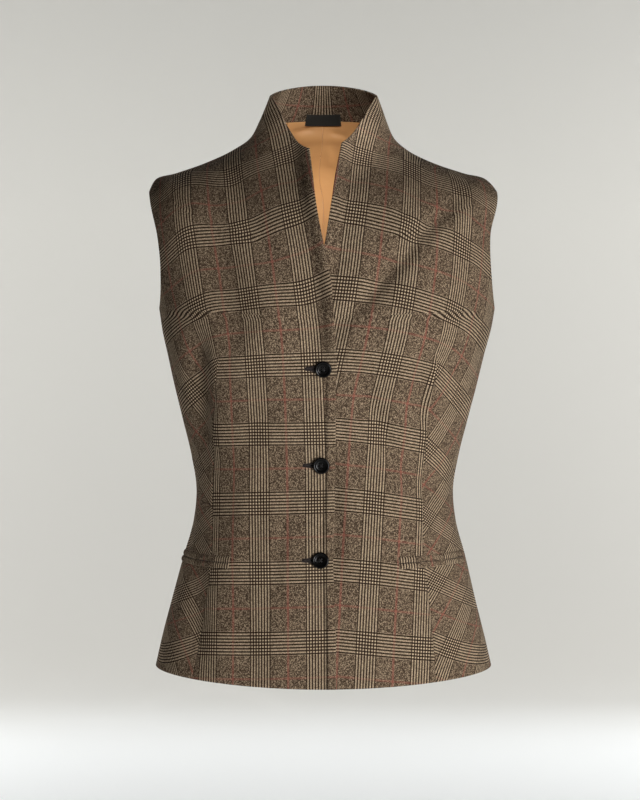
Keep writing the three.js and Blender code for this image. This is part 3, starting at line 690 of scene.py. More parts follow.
def placed_flat(name, side, point, flats):
    """The flat places measured from a crossing of the check, and turned round for the right side."""
    out, height = CHECK_PLACES[name]
    away = (point[..., 0] - out) ** 2 + (point[..., 2] - height) ** 2
    nearest = np.unravel_index(np.argmin(away), away.shape)
    crossing = flats[0][nearest] + np.array([out, height]) - point[nearest][[0, 2]]
    return [(flat - crossing) * np.array([side, 1]) for flat in flats]


def front_panel(front):
    name = f"front_{front.name}"
    turns = panel_turns()
    places = place_of(turns)
    first, seam, last = front.angles(places)
    near, near_length = stretch_columns(places, first, seam, EDGE_STEPS, DART_STEPS, NEAR_COLUMNS)
    far, far_length = stretch_columns(places, seam, last, DART_STEPS, RIM_STEPS, FAR_COLUMNS)
    slit = near.shape[1] - 1
    angles = np.concatenate([near, far[:, 1:]], axis=1)
    point, normal, _ = cloth_point(front.side, angles, places[:, None])

    # The threads' places come from a coarser sheet of the same front
    coarse_turns = np.linspace(turns[0], turns[-1], round(turns[-1] / FLAT_STEP))
    coarse_places = place_of(coarse_turns)
    coarse_first, coarse_seam, coarse_last = (angle[:, None] for angle in front.angles(coarse_places))
    knots_near, knots_far = np.linspace(0, 1, COARSE_NEAR), np.linspace(0, 1, COARSE_FAR)
    coarse_near = mix(coarse_first, coarse_seam, knots_near)
    coarse_far = mix(coarse_seam, coarse_last, knots_far[1:])
    coarse_angles = np.concatenate([coarse_near, coarse_far], axis=1)
    coarse, out, _ = cloth_point(front.side, coarse_angles, coarse_places[:, None])
    coarse_slit = len(knots_near) - 1
    slit_rows = int(np.sum(coarse[:, coarse_slit, 2] < DART_TOP))
    flats = thread_places(GRAIN[name], coarse, out, coarse_slit, slit_rows)
    cut = sheet_size(coarse, flats)
    rows_near = curve_through(coarse_turns, flats[0][:, :coarse_slit + 1])(turns)
    rows_far = curve_through(coarse_turns, flats[1][:, coarse_slit:])(turns)
    fine_near = resampled(rows_near, knots_near, (near - first[:, None]) / (seam - first)[:, None])
    fine_far = resampled(rows_far, knots_far, (far - seam[:, None]) / (last - seam)[:, None])
    flat_near = np.concatenate([fine_near, fine_far[:, 1:]], axis=1)
    flat_far = flat_near.copy()
    flat_far[:, slit] = fine_far[:, 0]
    flats = placed_flat(name, front.side, point[:, :slit], [flat_near, flat_far])

    across = np.concatenate([near_length, near_length[:, -1:] + far_length[:, 1:]], axis=1)
    drop = turned_edge(edge_distance(turns, across, across[:, -1:] - across), CLOTH)
    off_seam = np.abs(across - near_length[:, -1:])
    closing = smooth(DART_TOP, DART_TOP - DART_FADE, point[..., 2])
    groove = DART_GROOVE * closing * np.exp(-((off_seam / DART_GROOVE_ACROSS) ** 2))
    lift = front.raise_of(point[..., 0], point[..., 2])
    layers = front.edge_layers(point[..., 0], point[..., 2])
    corners = corners_of(*flats, slit)
    outer, inner = lift + layers - drop - groove, lift - CLOTH + drop
    return Panel(point, normal, outer, inner, corners, front.side), cut


def back_angles(places, centre_inset, side_inset):
    centre = 2 * RIGHT_ANGLE - centre_inset / form_axes(2 * RIGHT_ANGLE, places)[1]
    side_speed = form_axes(RIGHT_ANGLE, places)[1]
    return RIGHT_ANGLE + armhole_reach(places, ARMHOLE_BACK) + side_inset / side_speed, centre


def back_sheet(side, turns, insets, columns, grain):
    """Rows and columns of a back or of its lining, with the places of its threads."""
    places = place_of(turns)
    first, last = back_angles(places, *insets)
    angles, across = stretch_columns(places, first, last, RIM_STEPS, RIM_STEPS, columns)
    point, normal, _ = cloth_point(side, angles, places[:, None])
    coarse_turns = np.linspace(turns[0], turns[-1], round((turns[-1] - turns[0]) / FLAT_STEP))
    coarse_places = place_of(coarse_turns)
    coarse_first, coarse_last = back_angles(coarse_places, *insets)
    knots = np.linspace(0, 1, COARSE_BACK)
    coarse_angles = mix(coarse_first[:, None], coarse_last[:, None], knots)
    coarse, out, _ = cloth_point(side, coarse_angles, coarse_places[:, None])
    flats = thread_places(grain, coarse, out)
    fine = curve_through(coarse_turns, flats[0])(turns)
    flat = resampled(fine, knots, (angles - first[:, None]) / (last - first)[:, None])
    distance = edge_distance(turns, across, across[:, -1:] - across)
    return point, normal, flat, distance, sheet_size(coarse, flats)


class Shade:
    """A value in a material: Python's operators on it add Math nodes."""

    def __init__(self, finish, socket):
        self.finish = finish
        self.socket = socket

    def maths(self, operation, *values):
        return self.finish.node("ShaderNodeMath", {"operation": operation}, dict(enumerate(values)))

    def out(self, name):
        return Shade(self.finish, self.socket.node.outputs[name])

    def __add__(self, other):
        return self.maths("ADD", self, other)

    __radd__ = __add__

    def __sub__(self, other):
        return self.maths("SUBTRACT", self, other)

    def __rsub__(self, other):
        return self.maths("SUBTRACT", other, self)

    def __mul__(self, other):
        return self.maths("MULTIPLY", self, other)

    __rmul__ = __mul__

    def __truediv__(self, other):
        return self.maths("DIVIDE", self, other)

    def __lt__(self, other):
        return self.maths("LESS_THAN", self, other)

    def __gt__(self, other):
        return self.maths("GREATER_THAN", self, other)

    def __abs__(self):
        return self.maths("ABSOLUTE", self)

    def fraction(self):
        return self.maths("FRACT", self)


class Finish:
    """A material under construction, with its shader's constants set from the start."""

    def __init__(self, name, **constants):
        self.material = bpy.data.materials.new(name)
        self.material.use_nodes = True
        self.tree = self.material.node_tree
        self.shader = self.tree.nodes["Principled BSDF"]
        for socket, value in constants.items():
            self.shader.inputs[socket.replace("_", " ")].default_value = value

    def node(self, kind, settings=None, inputs=None):
        node = self.tree.nodes.new(kind)
        for name, value in (settings or {}).items():
            if name == "stops":
                for k, (place, colour) in enumerate(value):
                    stop = node.color_ramp.elements[k] if k < 2 else node.color_ramp.elements.new(place)
                    stop.position = place
                    stop.color = (*colour, 1)
            else:
                setattr(node, name, value)
        for name, value in (inputs or {}).items():
            self.feed(node.inputs[name], value)
        outputs = [socket for socket in node.outputs if socket.enabled]
        return Shade(self, outputs[0])

    def feed(self, socket, value):
        if isinstance(value, Shade):
            self.tree.links.new(value.socket, socket)
        elif hasattr(value, "__len__") and len(value) == 3 and len(socket.default_value) == 4:
            socket.default_value = (*value, 1)
        else:
            socket.default_value = value

    def cloth_map(self):
        """The place on the flat cut, and its millimetres across and up."""
        cloth = self.node("ShaderNodeUVMap", {"uv_map": CLOTH_MAP})
        parts = self.node("ShaderNodeSeparateXYZ", None, {"Vector": cloth})
        return cloth, parts.out("X") / METRE, parts.out("Y") / METRE

    def colour_mix(self, part, low, high):
        mixed = self.node("ShaderNodeMix", {"data_type": "RGBA"})
        node = mixed.socket.node
        for socket, value in zip([s for s in node.inputs if s.enabled], (part, low, high)):
            self.feed(socket, value)
        return mixed

    def noise(self, scale, detail, roughness, place):
        inputs = {"Scale": scale, "Detail": detail, "Roughness": roughness, "Vector": place}
        return self.node("ShaderNodeTexNoise", None, inputs)

    def bump(self, height, strength, distance):
        inputs = {"Height": height, "Strength": strength, "Distance": distance}
        return self.node("ShaderNodeBump", None, inputs)

    def set(self, **surface):
        for socket, value in surface.items():
            self.feed(self.shader.inputs[socket.replace("_", " ")], value)
        return self.material


# The glen check, in millimetres: eight yarns to a module, four dark and four light in a band
WARP_REPEAT, WARP_MODULE, WARP_BAND = 59.8, 3.067, 22.5
WEFT_REPEAT, WEFT_MODULE, WEFT_BAND = 73.5, 3.342, 26.0
OVERCHECK_WIDTH = 2.4


def yarns(position, repeat, module, band):
    """How light the yarn is at a position across the yarns, if it is in a band, and if it is rust."""
    offset = ((position / repeat + 0.5).fraction() - 0.5) * repeat
    in_band = abs(offset) < band / 2
    wide = (offset / module + 0.25).fraction() < 0.5
    lightness = in_band * (wide * 0.72) + (1 - in_band) * 0.4
    rust = abs(offset) > repeat / 2 - OVERCHECK_WIDTH / 2
    return lightness, in_band, rust


def check_cloth(name, colours):
    finish = Finish(name, Roughness=0.9, Sheen_Weight=0.01, Sheen_Roughness=0.5, Specular_IOR_Level=0.04)
    cloth, across, up = finish.cloth_map()
    warp, warp_band, warp_rust = yarns(across, WARP_REPEAT, WARP_MODULE, WARP_BAND)
    weft, weft_band, weft_rust = yarns(up, WEFT_REPEAT, WEFT_MODULE, WEFT_BAND)
    twill = (across * (2 / WARP_MODULE) + up * (2 / WEFT_MODULE)).fraction()
    over = twill < (warp_band - weft_band) * 0.42 + 0.5
    shown = weft + (warp - weft) * over
    crossing = warp_band * weft_band
    shown = shown + (warp.maths("MINIMUM", warp, weft) * 1.35 - shown) * (crossing * 0.65)

    # Each place where two yarns cross is lighter or darker than its neighbours
    column, row = across * (4 / WARP_MODULE), up * (4 / WEFT_MODULE)
    whole = {"X": column - column.fraction(), "Y": row - row.fraction()}
    place = finish.node("ShaderNodeCombineXYZ", None, whole)
    fleck = finish.node("ShaderNodeTexWhiteNoise", {"noise_dimensions": "2D"}, {"Vector": place})
    melange = finish.noise(1500, 0, 0.5, cloth)
    plain = (1 - warp_band) * (1 - weft_band)
    lightness = shown + (fleck - 0.5) * (plain * 0.36 + 0.28) + (melange - 0.5) * 0.4
    colour = finish.node("ShaderNodeValToRGB", {"stops": [
        (0.0, colours.dark_yarn_and_seam_shade), (1.0, colours.light_yarn), (0.45, colours.middle_yarn),
    ]}, {"Fac": lightness})
    rust = warp_rust * (over * 0.45 + 0.2) + weft_rust * ((1 - over) * 0.4 + 0.12)
    colour = finish.colour_mix(rust, colour, colours.rust_yarn)
    broad = finish.noise(14, 2, 0.5, cloth)
    colour = finish.colour_mix(broad * 0.2, colour, colours.middle_yarn)
    height = abs(twill - 0.5) * 0.6 + fleck * 0.7
    return finish.set(Base_Color=colour, Normal=finish.bump(height, 0.35, 0.0003))


def lining_satin(name, colours):
    finish = Finish(name, Sheen_Weight=0.15, Specular_IOR_Level=0.4)
    cloth, across, up = finish.cloth_map()
    twill = abs(((across + up) * 1.6).fraction() - 0.5)
    broad = finish.noise(22, 3, 0.55, cloth)
    colour = finish.colour_mix(broad, colours.lining_shade, colours.lining)
    colour = finish.colour_mix(twill * 0.25, colour, colours.lining_shade)
    # Painted shade: a near-black line where across is nearly zero, standing in for the shade in the centre
    # back seam's groove
    centre_seam_shade = abs(across) < 0.9
    colour = finish.colour_mix(centre_seam_shade * 0.85, colour, colours.dark_yarn_and_seam_shade)
    creases = finish.noise(60, 2, 0.5, cloth)
    height = twill * 0.25 + creases * 0.6
    return finish.set(
        Base_Color=colour, Roughness=0.42 + broad * 0.12, Normal=finish.bump(height, 0.3, 0.0006)
    )


def dark_ribs(name, colour, pitch, roughness):
    """Twisted thread or woven tape: fine ribs in one dark colour."""
    finish = Finish(name, Roughness=roughness, Sheen_Weight=0.1, Specular_IOR_Level=0.3)
    cloth = finish.node("ShaderNodeUVMap", {"uv_map": CLOTH_MAP})
    parts = finish.node("ShaderNodeSeparateXYZ", None, {"Vector": cloth})
    rib = abs((parts.out("X") / (pitch * METRE)).fraction() - 0.5)
    mottle = finish.noise(700, 2, 0.5, cloth)
    light = tuple(part * 2.2 for part in colour)
    shown = finish.colour_mix(rib * mottle * 2, colour, light)
    return finish.set(Base_Color=shown, Normal=finish.bump(rib, 0.6, 0.0002))


def button_horn(name, colours):
    finish = Finish(name, Specular_IOR_Level=0.12, Coat_Weight=0.08, Coat_Roughness=0.05)
    place = finish.node("ShaderNodeTexCoord").out("Object")
    streaks = finish.noise(260, 4, 0.6, place)
    colour = finish.colour_mix(streaks * streaks, colours.button, colours.button_streak)
    wear = finish.noise(900, 2, 0.5, place)
    return finish.set(
        Base_Color=colour, Roughness=0.16 + wear * 0.1, Normal=finish.bump(wear, 0.05, 0.0001)
    )


def studio_paper(name, behind, floor):
    """Paper painted paler on the floor in front than behind the garment: the paler floor is painted light.
    """
    finish = Finish(name, Roughness=0.95, Specular_IOR_Level=0.1)
    place = finish.node("ShaderNodeTexCoord").out("Object")
    parts = finish.node("ShaderNodeSeparateXYZ", None, {"Vector": place})
    grain = finish.noise(3, 2, 0.5, place)
    # Painted light: towards the front the paper's colour turns to the paler floor colour
    painted_light_share = finish.node("ShaderNodeMapRange", {"interpolation_type": "SMOOTHERSTEP"}, {
        "Value": parts.out("Y") + grain * 0.1, "From Min": 2.0, "From Max": 0.75, "To Min": 0, "To Max": 1,
    })
    return finish.set(Base_Color=finish.colour_mix(painted_light_share, behind, floor))


def colour(name, description, default):
    return FloatVectorProperty(
        name=name, description=description, default=default, size=3, min=0, max=1, subtype="COLOR"
    )


def power(name, description, default):
    return FloatProperty(name=name, description=description, default=default, min=0, unit="POWER")


class WaistcoatColours(bpy.types.PropertyGroup):
    # The check's brown-black yarn, also the colour of the painted shade along the lining's seam
    dark_yarn_and_seam_shade: colour("Dark yarn", "Brown-black yarn of the check", (0.008, 0.0048, 0.003))
    middle_yarn: colour("Middle yarn", "Brown yarn between the bands", (0.092, 0.062, 0.04))
    light_yarn: colour("Light yarn", "Beige yarn of the check", (0.6, 0.46, 0.31))
    rust_yarn: colour("Rust yarn", "Overcheck yarn", (0.27, 0.08, 0.06))
    lining: colour("Lining", "Golden tan lining", (0.74, 0.39, 0.15))
    lining_shade: colour("Lining shade", "Lining where its weave turns", (0.6, 0.29, 0.1))
    label: colour("Label", "Bare neck label", (0.011, 0.0105, 0.008))
    button: colour("Button", "Black button", (0.0015, 0.0014, 0.0014))
    button_streak: colour("Button streak", "Brown streaks in the button", (0.004, 0.003, 0.0026))
    # Button thread; the same near-black colours the painted shade in the pocket openings and buttonhole
    # slits
    thread: colour("Thread", "Button thread", (0.005, 0.004, 0.004))
    buttonhole: colour("Buttonhole", "Buttonhole twist", (0.01, 0.0055, 0.004))
    # One paper in two colours: the floor's paler colour, towards the front, is painted light
    paper: colour("Paper", "Studio paper behind the garment", (0.6, 0.59, 0.555))
    floor: colour("Floor", "Studio paper on the floor", (0.93, 0.95, 0.95))


class WaistcoatSizes(bpy.types.PropertyGroup):
    key_power: power("Key light", "Large light low on the wearer's left", 18.5)
    low_power: power("Low light", "Light from low in front, as from a pale floor", 9)
    fill_power: power("Fill light", "Soft light on the wearer's right", 1)
    paper_power: power("Paper light", "Each of the two lights on the paper behind", 42)
    floor_power: power("Floor light", "Light from above on the floor behind", 41)
    neck_power: power("Neck light", "Narrow light into the neck", 165)
    floor_drop: FloatProperty(
        name="Floor drop", description="How far the floor is below the hem",
        default=0.22, min=0, unit="LENGTH",
    )


def colours_of(context):
    return context.scene.waistcoat_colours


def finished(key, maker, *values):
    """A material made once and shared by the pieces that need it."""
    return bpy.data.materials.get(key) or maker(key, *values)


def dress(piece, slot, *nodes):
    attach(piece, "root")
    if nodes:
        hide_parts(*nodes)


def declare_sheet(cut):
    area, size = cut
    share = min(1.0, area / (size[0] * size[1]))
    flat = (float(size[0]) * METRE, float(size[1]) * METRE)
    area = share * flat[0] * flat[1]


def joined_mesh(name, parts, materials):
    """One piece from parts, each of vertices in millimetres, faces, places on the cloth and a slot."""
    vertices, faces, places, slots = [], [], [], []
    for part_vertices, part_faces, part_places, slot in parts:
        faces += [[index + len(vertices) for index in face] for face in part_faces]
        vertices += [tuple(vertex) for vertex in np.asarray(part_vertices) * METRE]
        places += [tuple(place) for place in np.asarray(part_places) * METRE]
        slots += [slot] * len(part_faces)
    at_corners = np.array(places)[np.concatenate(faces)]
    return new_piece(name, vertices, faces, at_corners, slots, materials)


def ring_faces(rings, around, closed=False):
    """Faces between rings of points, with both ends capped unless the tube is closed on itself."""
    faces = []
    for ring in range(rings if closed else rings - 1):
        after = (ring + 1) % rings
        for k in range(around):
            beside = (k + 1) % around
            here, there = ring * around, after * around
            faces.append([here + k, here + beside, there + beside, there + k])
    if not closed:
        faces.append(list(range(around))[::-1])
        faces.append([(rings - 1) * around + k for k in range(around)])
    return faces


def tube(path, radius, around=8, closed=False, slot=0):
    """A round thread along a path."""
    path = np.asarray(path, float)
    if closed:
        way = np.roll(path, -1, axis=0) - np.roll(path, 1, axis=0)
    else:
        way = np.gradient(path, axis=0)
    way /= np.linalg.norm(way, axis=1, keepdims=True)
    aside = np.cross(way, [0.02, -1.0, 0.03])
    aside /= np.linalg.norm(aside, axis=1, keepdims=True)
    out = np.cross(aside, way)
    turn = np.linspace(0, 4 * RIGHT_ANGLE, around, endpoint=False)
    circle = np.cos(turn)[None, :, None] * aside[:, None] + np.sin(turn)[None, :, None] * out[:, None]
    vertices = path[:, None] + radius * circle
    lengths = np.concatenate([[0], np.cumsum(np.linalg.norm(np.diff(path, axis=0), axis=1))])
    places = np.stack(np.broadcast_arrays(lengths[:, None], (turn * radius)[None]), -1)
    return vertices.reshape(-1, 3), ring_faces(len(path), around, closed), places.reshape(-1, 2), slot


class WAISTCOAT_OT_pockets(bpy.types.Operator):
    """Make the jetted pockets' lips, and between them near-black strips as painted shade in the openings"""

    bl_idname = "waistcoat.pockets"
    bl_label = "Pockets"

    def execute(self, context):
        colours = colours_of(context)
        cloth = finished("check_wool", check_cloth, colours)
        # Near-black material: painted shade in the pocket openings and in the buttonhole slits
        dark = finished("pocket_dark", dark_ribs, tuple(colours.thread), 0.7, 0.9)
        for front in FRONTS.values():
            gap = SEAM_GAP / 2
            node = f"pocket_{front.name}"
            upper = self.strip(front, gap, gap + LIP_HEIGHT, 0.3, 1.7)
            lower = self.strip(front, -gap - LIP_HEIGHT, -gap, 0.3, 1.9)
            # A near-black strip between the lips, painted shade in the pocket's slit
            opening_shade = self.strip(front, -1.1, 1.1, 0.25, 0.25)
            for half, panel in (("upper", upper), ("lower", lower)):
                dress(panel.mesh(f"{node}_{half}_lip_cloth", [cloth]), "check_cloth", f"{node}_{half}_lip")
            dress(opening_shade.mesh(f"{node}_opening", [dark]), "thread")
        return {"FINISHED"}

    def strip(self, front, low, high, edge_rise, middle_rise):
        """A strip along the pocket's line, rounded up from its edges to its middle."""
        start_place = place_at_height(0.8, POCKET_INNER)
        start_out = front.pocket_start - front.side * sway(POCKET_INNER)
        angles = [float(angle_at_line(start_place, lambda _: start_out, 0.2, 1.5))]
        for _ in range(LIP_COLUMNS):
            speed = float(form_axes(angles[-1], start_place)[1])
            angles.append(angles[-1] + LIP_LENGTH / LIP_COLUMNS / speed)
        knots = np.linspace(0, LIP_LENGTH, LIP_COLUMNS + 1)
        along = rimmed(0, LIP_LENGTH, RIM_STEPS, RIM_STEPS, 54)
        turned = curve_through(knots, angles)(along)
        up = mix(low, high, (1 - np.cos(np.linspace(0, 2 * RIGHT_ANGLE, 11))) / 2)
        height = mix(POCKET_INNER, POCKET_OUTER, along / LIP_LENGTH) + up[:, None]
        point, normal, _ = cloth_point(front.side, turned[None], place_at_height(turned[None], height))
        share = 2 * (up - low) / (high - low) - 1
        at_end = np.minimum(1, np.minimum(along, LIP_LENGTH - along) / 1.4)
        round_up = np.sqrt(np.clip(1 - share**2, 0, 1))[:, None] * np.sqrt(1 - (1 - at_end) ** 2)
        ripple = 0.25 * np.sin(along / 13 + front.side) + 0.15 * np.sin(along / 5.3)
        lift = front.raise_of(point[..., 0], point[..., 2])
        outer = lift + edge_rise + (middle_rise - edge_rise + ripple) * round_up
        flat = np.stack(np.broadcast_arrays((along - 9)[None], (up * 1.4 + 21)[:, None]), -1)
        flat = flat * np.array([front.side, 1])
        corners = corners_of(flat, flat, 0)
        return Panel(point, normal, outer, lift - 0.4 + 0 * outer, corners, front.side)


class WAISTCOAT_OT_fronts(bpy.types.Operator):
    """Cut and shape both fronts, with their facings and linings inside"""

    bl_idname = "waistcoat.fronts"
    bl_label = "Fronts"

    def execute(self, context):
        colours = colours_of(context)
        cloth = finished("check_wool", check_cloth, colours)
        lining = finished("tan_lining", lining_satin, colours)
        for front in FRONTS.values():
            panel, cut = front_panel(front)
            height = (panel.point[1:, 1:, 2] + panel.point[:-1, :-1, 2]) / 2
            above_hem = height - height[0]
            is_lining = (height < FACING_LOW) & (above_hem > HEM_TURNED)
            is_lining[:, :FACING_COLUMNS] = False
            piece = panel.mesh(f"front_{front.name}_cloth", [cloth, lining], is_lining.astype(np.int32))
            dress(piece, "check_cloth", f"front_{front.name}")
            declare_sheet(cut)
        return {"FINISHED"}


class WAISTCOAT_OT_backs(bpy.types.Operator):
    """Cut and shape both backs"""

    bl_idname = "waistcoat.backs"
    bl_label = "Backs"

    def execute(self, context):
        cloth = finished("check_wool", check_cloth, colours_of(context))
        turns = panel_turns()
        insets = (CLOSED_SEAM, CLOSED_SEAM)
        for name, side in (("right", -1), ("left", 1)):
            sheet = back_sheet(side, turns, insets, BACK_COLUMNS, GRAIN["back"])
            point, normal, flat, distance, cut = sheet
            drop = turned_edge(distance, CLOTH)
            flat = placed_flat(f"back_{name}", side, point, [flat])[0]
            panel = Panel(point, normal, -drop, -CLOTH + drop, corners_of(flat, flat, 0), side)
            piece = panel.mesh(f"back_{name}_cloth", [cloth])
            dress(piece, "check_cloth", f"back_{name}")
            declare_sheet(cut)
        return {"FINISHED"}


class WAISTCOAT_OT_linings(bpy.types.Operator):
    """Line the back, face its collar and sew in the bare label"""

    bl_idname = "waistcoat.linings"
    bl_label = "Linings, collar facing and label"

    def execute(self, context):
        colours = colours_of(context)
        lining = finished("tan_lining", lining_satin, colours)
        start = float(place_at_height(RIGHT_ANGLE, RINGS["side"][0] + LINING_ABOVE_HEM))
        turns = panel_turns(start, FACING_EDGE - 2 * SEAM_GAP)
        insets = (CLOSED_SEAM, LINING_SIDE_GAP)
        for name, side in (("right", -1), ("left", 1)):
            sheet = back_sheet(side, turns, insets, LINING_COLUMNS, GRAIN["plain"])
            point, normal, flat, distance, cut = sheet
            drop = turned_edge(distance, LINING)
            ease = LINING_EASE * smooth(*EASE_OUT, point[..., 0]) * smooth(*EASE_UP, point[..., 2])
            face = -(CLOTH + INNER_GAP) - ease
            flat = flat * np.array([side, 1])
            panel = Panel(point, normal, face - drop, face - LINING + drop, corners_of(flat, flat, 0), side)
            piece = panel.mesh(f"lining_back_{name}_satin", [lining])
            dress(piece, "lining", f"lining_back_{name}")
            declare_sheet(cut)
        self.face_collar(finished("check_wool", check_cloth, colours))
        self.sew_label(finished("black_tape", dark_ribs, tuple(colours.label), 0.6, 0.7))
        return {"FINISHED"}

    def face_collar(self, cloth):
        places = rimmed(FACING_EDGE, TOP_PLACE, RIM_STEPS, RIM_STEPS, COLLAR_ROWS)
        inset = 2 / form_axes(RIGHT_ANGLE, places)[1]
        angles, across = stretch_columns(
            places, RIGHT_ANGLE + inset, 3 * RIGHT_ANGLE - inset, RIM_STEPS, RIM_STEPS, COLLAR_COLUMNS
        )
        point, normal, _ = cloth_point(1, angles, places[:, None])
        flat = thread_places(GRAIN["plain"], point, normal)[0]
        middle = flat.shape[1] // 2
        flat = flat - flat[0, middle] + np.array([0, WEFT_REPEAT * 0.28])
        drop = turned_edge(edge_distance(places, across, across[:, -1:] - across), LINING)
        face = -(CLOTH + INNER_GAP)
        panel = Panel(point, normal, face - drop, face - LINING + drop, corners_of(flat, flat, 0))
        piece = panel.mesh("collar_facing_cloth", [cloth])
        dress(piece, "check_cloth", "collar_facing")
        declare_sheet(sheet_size(point, [flat]))

    def sew_label(self, tape):
        """Black tape with its ends turned under and stitched, and nothing on it."""
        middle = float(place_at_height(2 * RIGHT_ANGLE, LABEL_MIDDLE))
        reach = LABEL_WIDTH / 2 / float(form_axes(2 * RIGHT_ANGLE, middle)[1])
        across = rimmed(0, LABEL_WIDTH, RIM_STEPS / 2, RIM_STEPS / 2, 40)
        up = rimmed(0, LABEL_HEIGHT, RIM_STEPS / 2, RIM_STEPS / 2, 14)
        angles = 2 * RIGHT_ANGLE + mix(-reach, reach, across / LABEL_WIDTH)[None]
        heights = LABEL_MIDDLE - LABEL_HEIGHT / 2 + up[:, None]
        point, normal, _ = cloth_point(1, angles, place_at_height(angles, heights))
        drop = turned_edge(edge_distance(up, across[None], LABEL_WIDTH - across[None]), LABEL_THICK)
        turned_under = 0.35 * smooth(5, 3.6, np.minimum(across, LABEL_WIDTH - across))[None]
        inner = -(CLOTH + INNER_GAP + LINING + INNER_GAP + 0.9) - turned_under
        flat = np.stack(np.broadcast_arrays(across[None], up[:, None]), -1)
        panel = Panel(point, normal, inner + LABEL_THICK - drop, inner + drop, corners_of(flat, flat, 0))
        label = panel.mesh("neck_label_tape", [tape])
        stitches = []
        for end in (1.2, LABEL_WIDTH - 1.2):
            for rise in np.arange(0.9, LABEL_HEIGHT - 1, 1.75):
                aside = (end + np.linspace(-0.25, 0.25, 4)) / LABEL_WIDTH
                turn = 2 * RIGHT_ANGLE + mix(-reach, reach, aside)
                height = LABEL_MIDDLE - LABEL_HEIGHT / 2 + rise + np.linspace(0, 1.2, 4)
                spot, way, _ = cloth_point(1, turn, place_at_height(turn, height))
                stitches.append(tube(spot - way * 5.3, 0.22, 6))
        sewing = joined_mesh("neck_label_stitches", stitches, [tape])
        dress(label, "label", "neck_label")
        dress(sewing, "label")


def button_seat(name):
    """The middle of a button on the right front's outer face, and the ways across, up and out."""
    height = BUTTON_HEIGHTS[name]
    out = -(BUTTON_X[name] - float(sway(height)))
    place = place_at_height(0, height)
    angle = angle_at_line(place, lambda _: out, -0.3, 0.6)
    point, normal, _ = cloth_point(-1, angle, place)
    mirror = np.array([-1, 1, 1])
    out_way = normal * mirror
    across = np.cross(out_way, [0.0, 0.0, 1.0])
    across = -across / np.linalg.norm(across)
    return (point + normal * OVERLAP_RAISE) * mirror, across, np.cross(out_way, across), out_way


def stood_on(seat, local):
    """Points given as across, up and out from a button's seat."""
    point, across, up, out = seat
    local = np.asarray(local, float)
    return point + local[..., :1] * across + local[..., 1:2] * up + local[..., 2:] * out


def button_holes():
    spread = BUTTON_HOLE_SPREAD / 2
    return [(spread * x, spread * y) for x, y in ((1, 1), (-1, 1), (-1, -1), (1, -1))]


class WAISTCOAT_OT_buttons(bpy.types.Operator):
    """Turn the buttons and sew them on with crossed threads and wound shanks"""

    bl_idname = "waistcoat.buttons"
    bl_label = "Buttons"

    def execute(self, context):
        colours = colours_of(context)
        horn = finished("black_horn", button_horn, colours)
        thread = finished("button_thread", dark_ribs, tuple(colours.thread), 0.5, 0.75)
        for name, tilt in BUTTON_TILTS.items():
            seat = button_seat(name)
            button = joined_mesh(f"button_{name}_horn", [self.turned(seat, tilt)], [horn])
            dress(button, "button", f"button_{name}")
            sewing = joined_mesh(f"button_{name}_sewing", self.sewing(seat, tilt), [thread])
            dress(sewing, "thread", f"button_{name}_shank")
        return {"FINISHED"}

    def turned(self, seat, tilt):
        """A button with a raised rim, a dished middle and four holes."""
        stations = np.arange(len(BUTTON_PROFILE))
        profile = curve_through(stations, BUTTON_PROFILE)
        shares = profile(np.concatenate([np.linspace(0, 7, 50), np.linspace(7, 8, 30)[1:]]))
        shares[0, 0] = shares[-1, 0] = 0.004
        turn = np.linspace(0, 4 * RIGHT_ANGLE, BUTTON_AROUND, endpoint=False)
        radius = shares[:, 0] * BUTTON_WIDTH / 2
        across = radius[:, None] * np.cos(turn)
        up = radius[:, None] * np.sin(turn)
        out = np.broadcast_to(shares[:, 1:] * BUTTON_HEIGHT, across.shape).copy()
        for x, y in button_holes():
            away = np.hypot(across - x, up - y)
            on_top = (np.arange(len(shares)) >= 45)[:, None]
            out -= on_top * 1.9 * smooth(BUTTON_HOLE / 2 + 0.15, BUTTON_HOLE / 2 - 0.15, away)
        local = np.stack([across, up, out + BUTTON_RISE + tilt * across], -1)
        places = np.stack([across, up], -1).reshape(-1, 2)
        return stood_on(seat, local).reshape(-1, 3), ring_faces(len(shares), BUTTON_AROUND), places, 0

    def sewing(self, seat, tilt):
        holes = button_holes()
        face = BUTTON_RISE + 0.6 * BUTTON_HEIGHT
        parts = []
        for first, last in ((0, 2), (1, 3)):
            for aside in (-0.42, 0, 0.42):
                start, stop = np.array(holes[first]), np.array(holes[last])
                way = (stop - start) / np.linalg.norm(stop - start)
                share = np.linspace(0, 1, 15)[:, None]
                flat = mix(start, stop, share) + np.array([-way[1], way[0]]) * aside
                rise = face - 1.2 + 1.75 * np.sin(share * 2 * RIGHT_ANGLE) ** 0.4 + 0.25 * (first == 0)
                local = np.concatenate([flat, rise + tilt * flat[:, :1]], axis=1)
                parts.append(tube(stood_on(seat, local), 0.27, 7))
        turn = np.linspace(0, 4 * RIGHT_ANGLE, SHANK_AROUND, endpoint=False)
        length, turn = np.meshgrid(np.linspace(-CLOTH, THREAD_RISE + BUTTON_RISE, 60), turn, indexing="ij")
        round_out = THREAD_WIDTH / 2 * (1 + 0.07 * np.sin(length * 9 + turn))
        local = np.stack([round_out * np.cos(turn), round_out * np.sin(turn), length], -1)
        places = np.stack([turn, length], -1).reshape(-1, 2)
        shank = stood_on(seat, local).reshape(-1, 3), ring_faces(len(length), SHANK_AROUND), places, 0
        return parts + [shank]


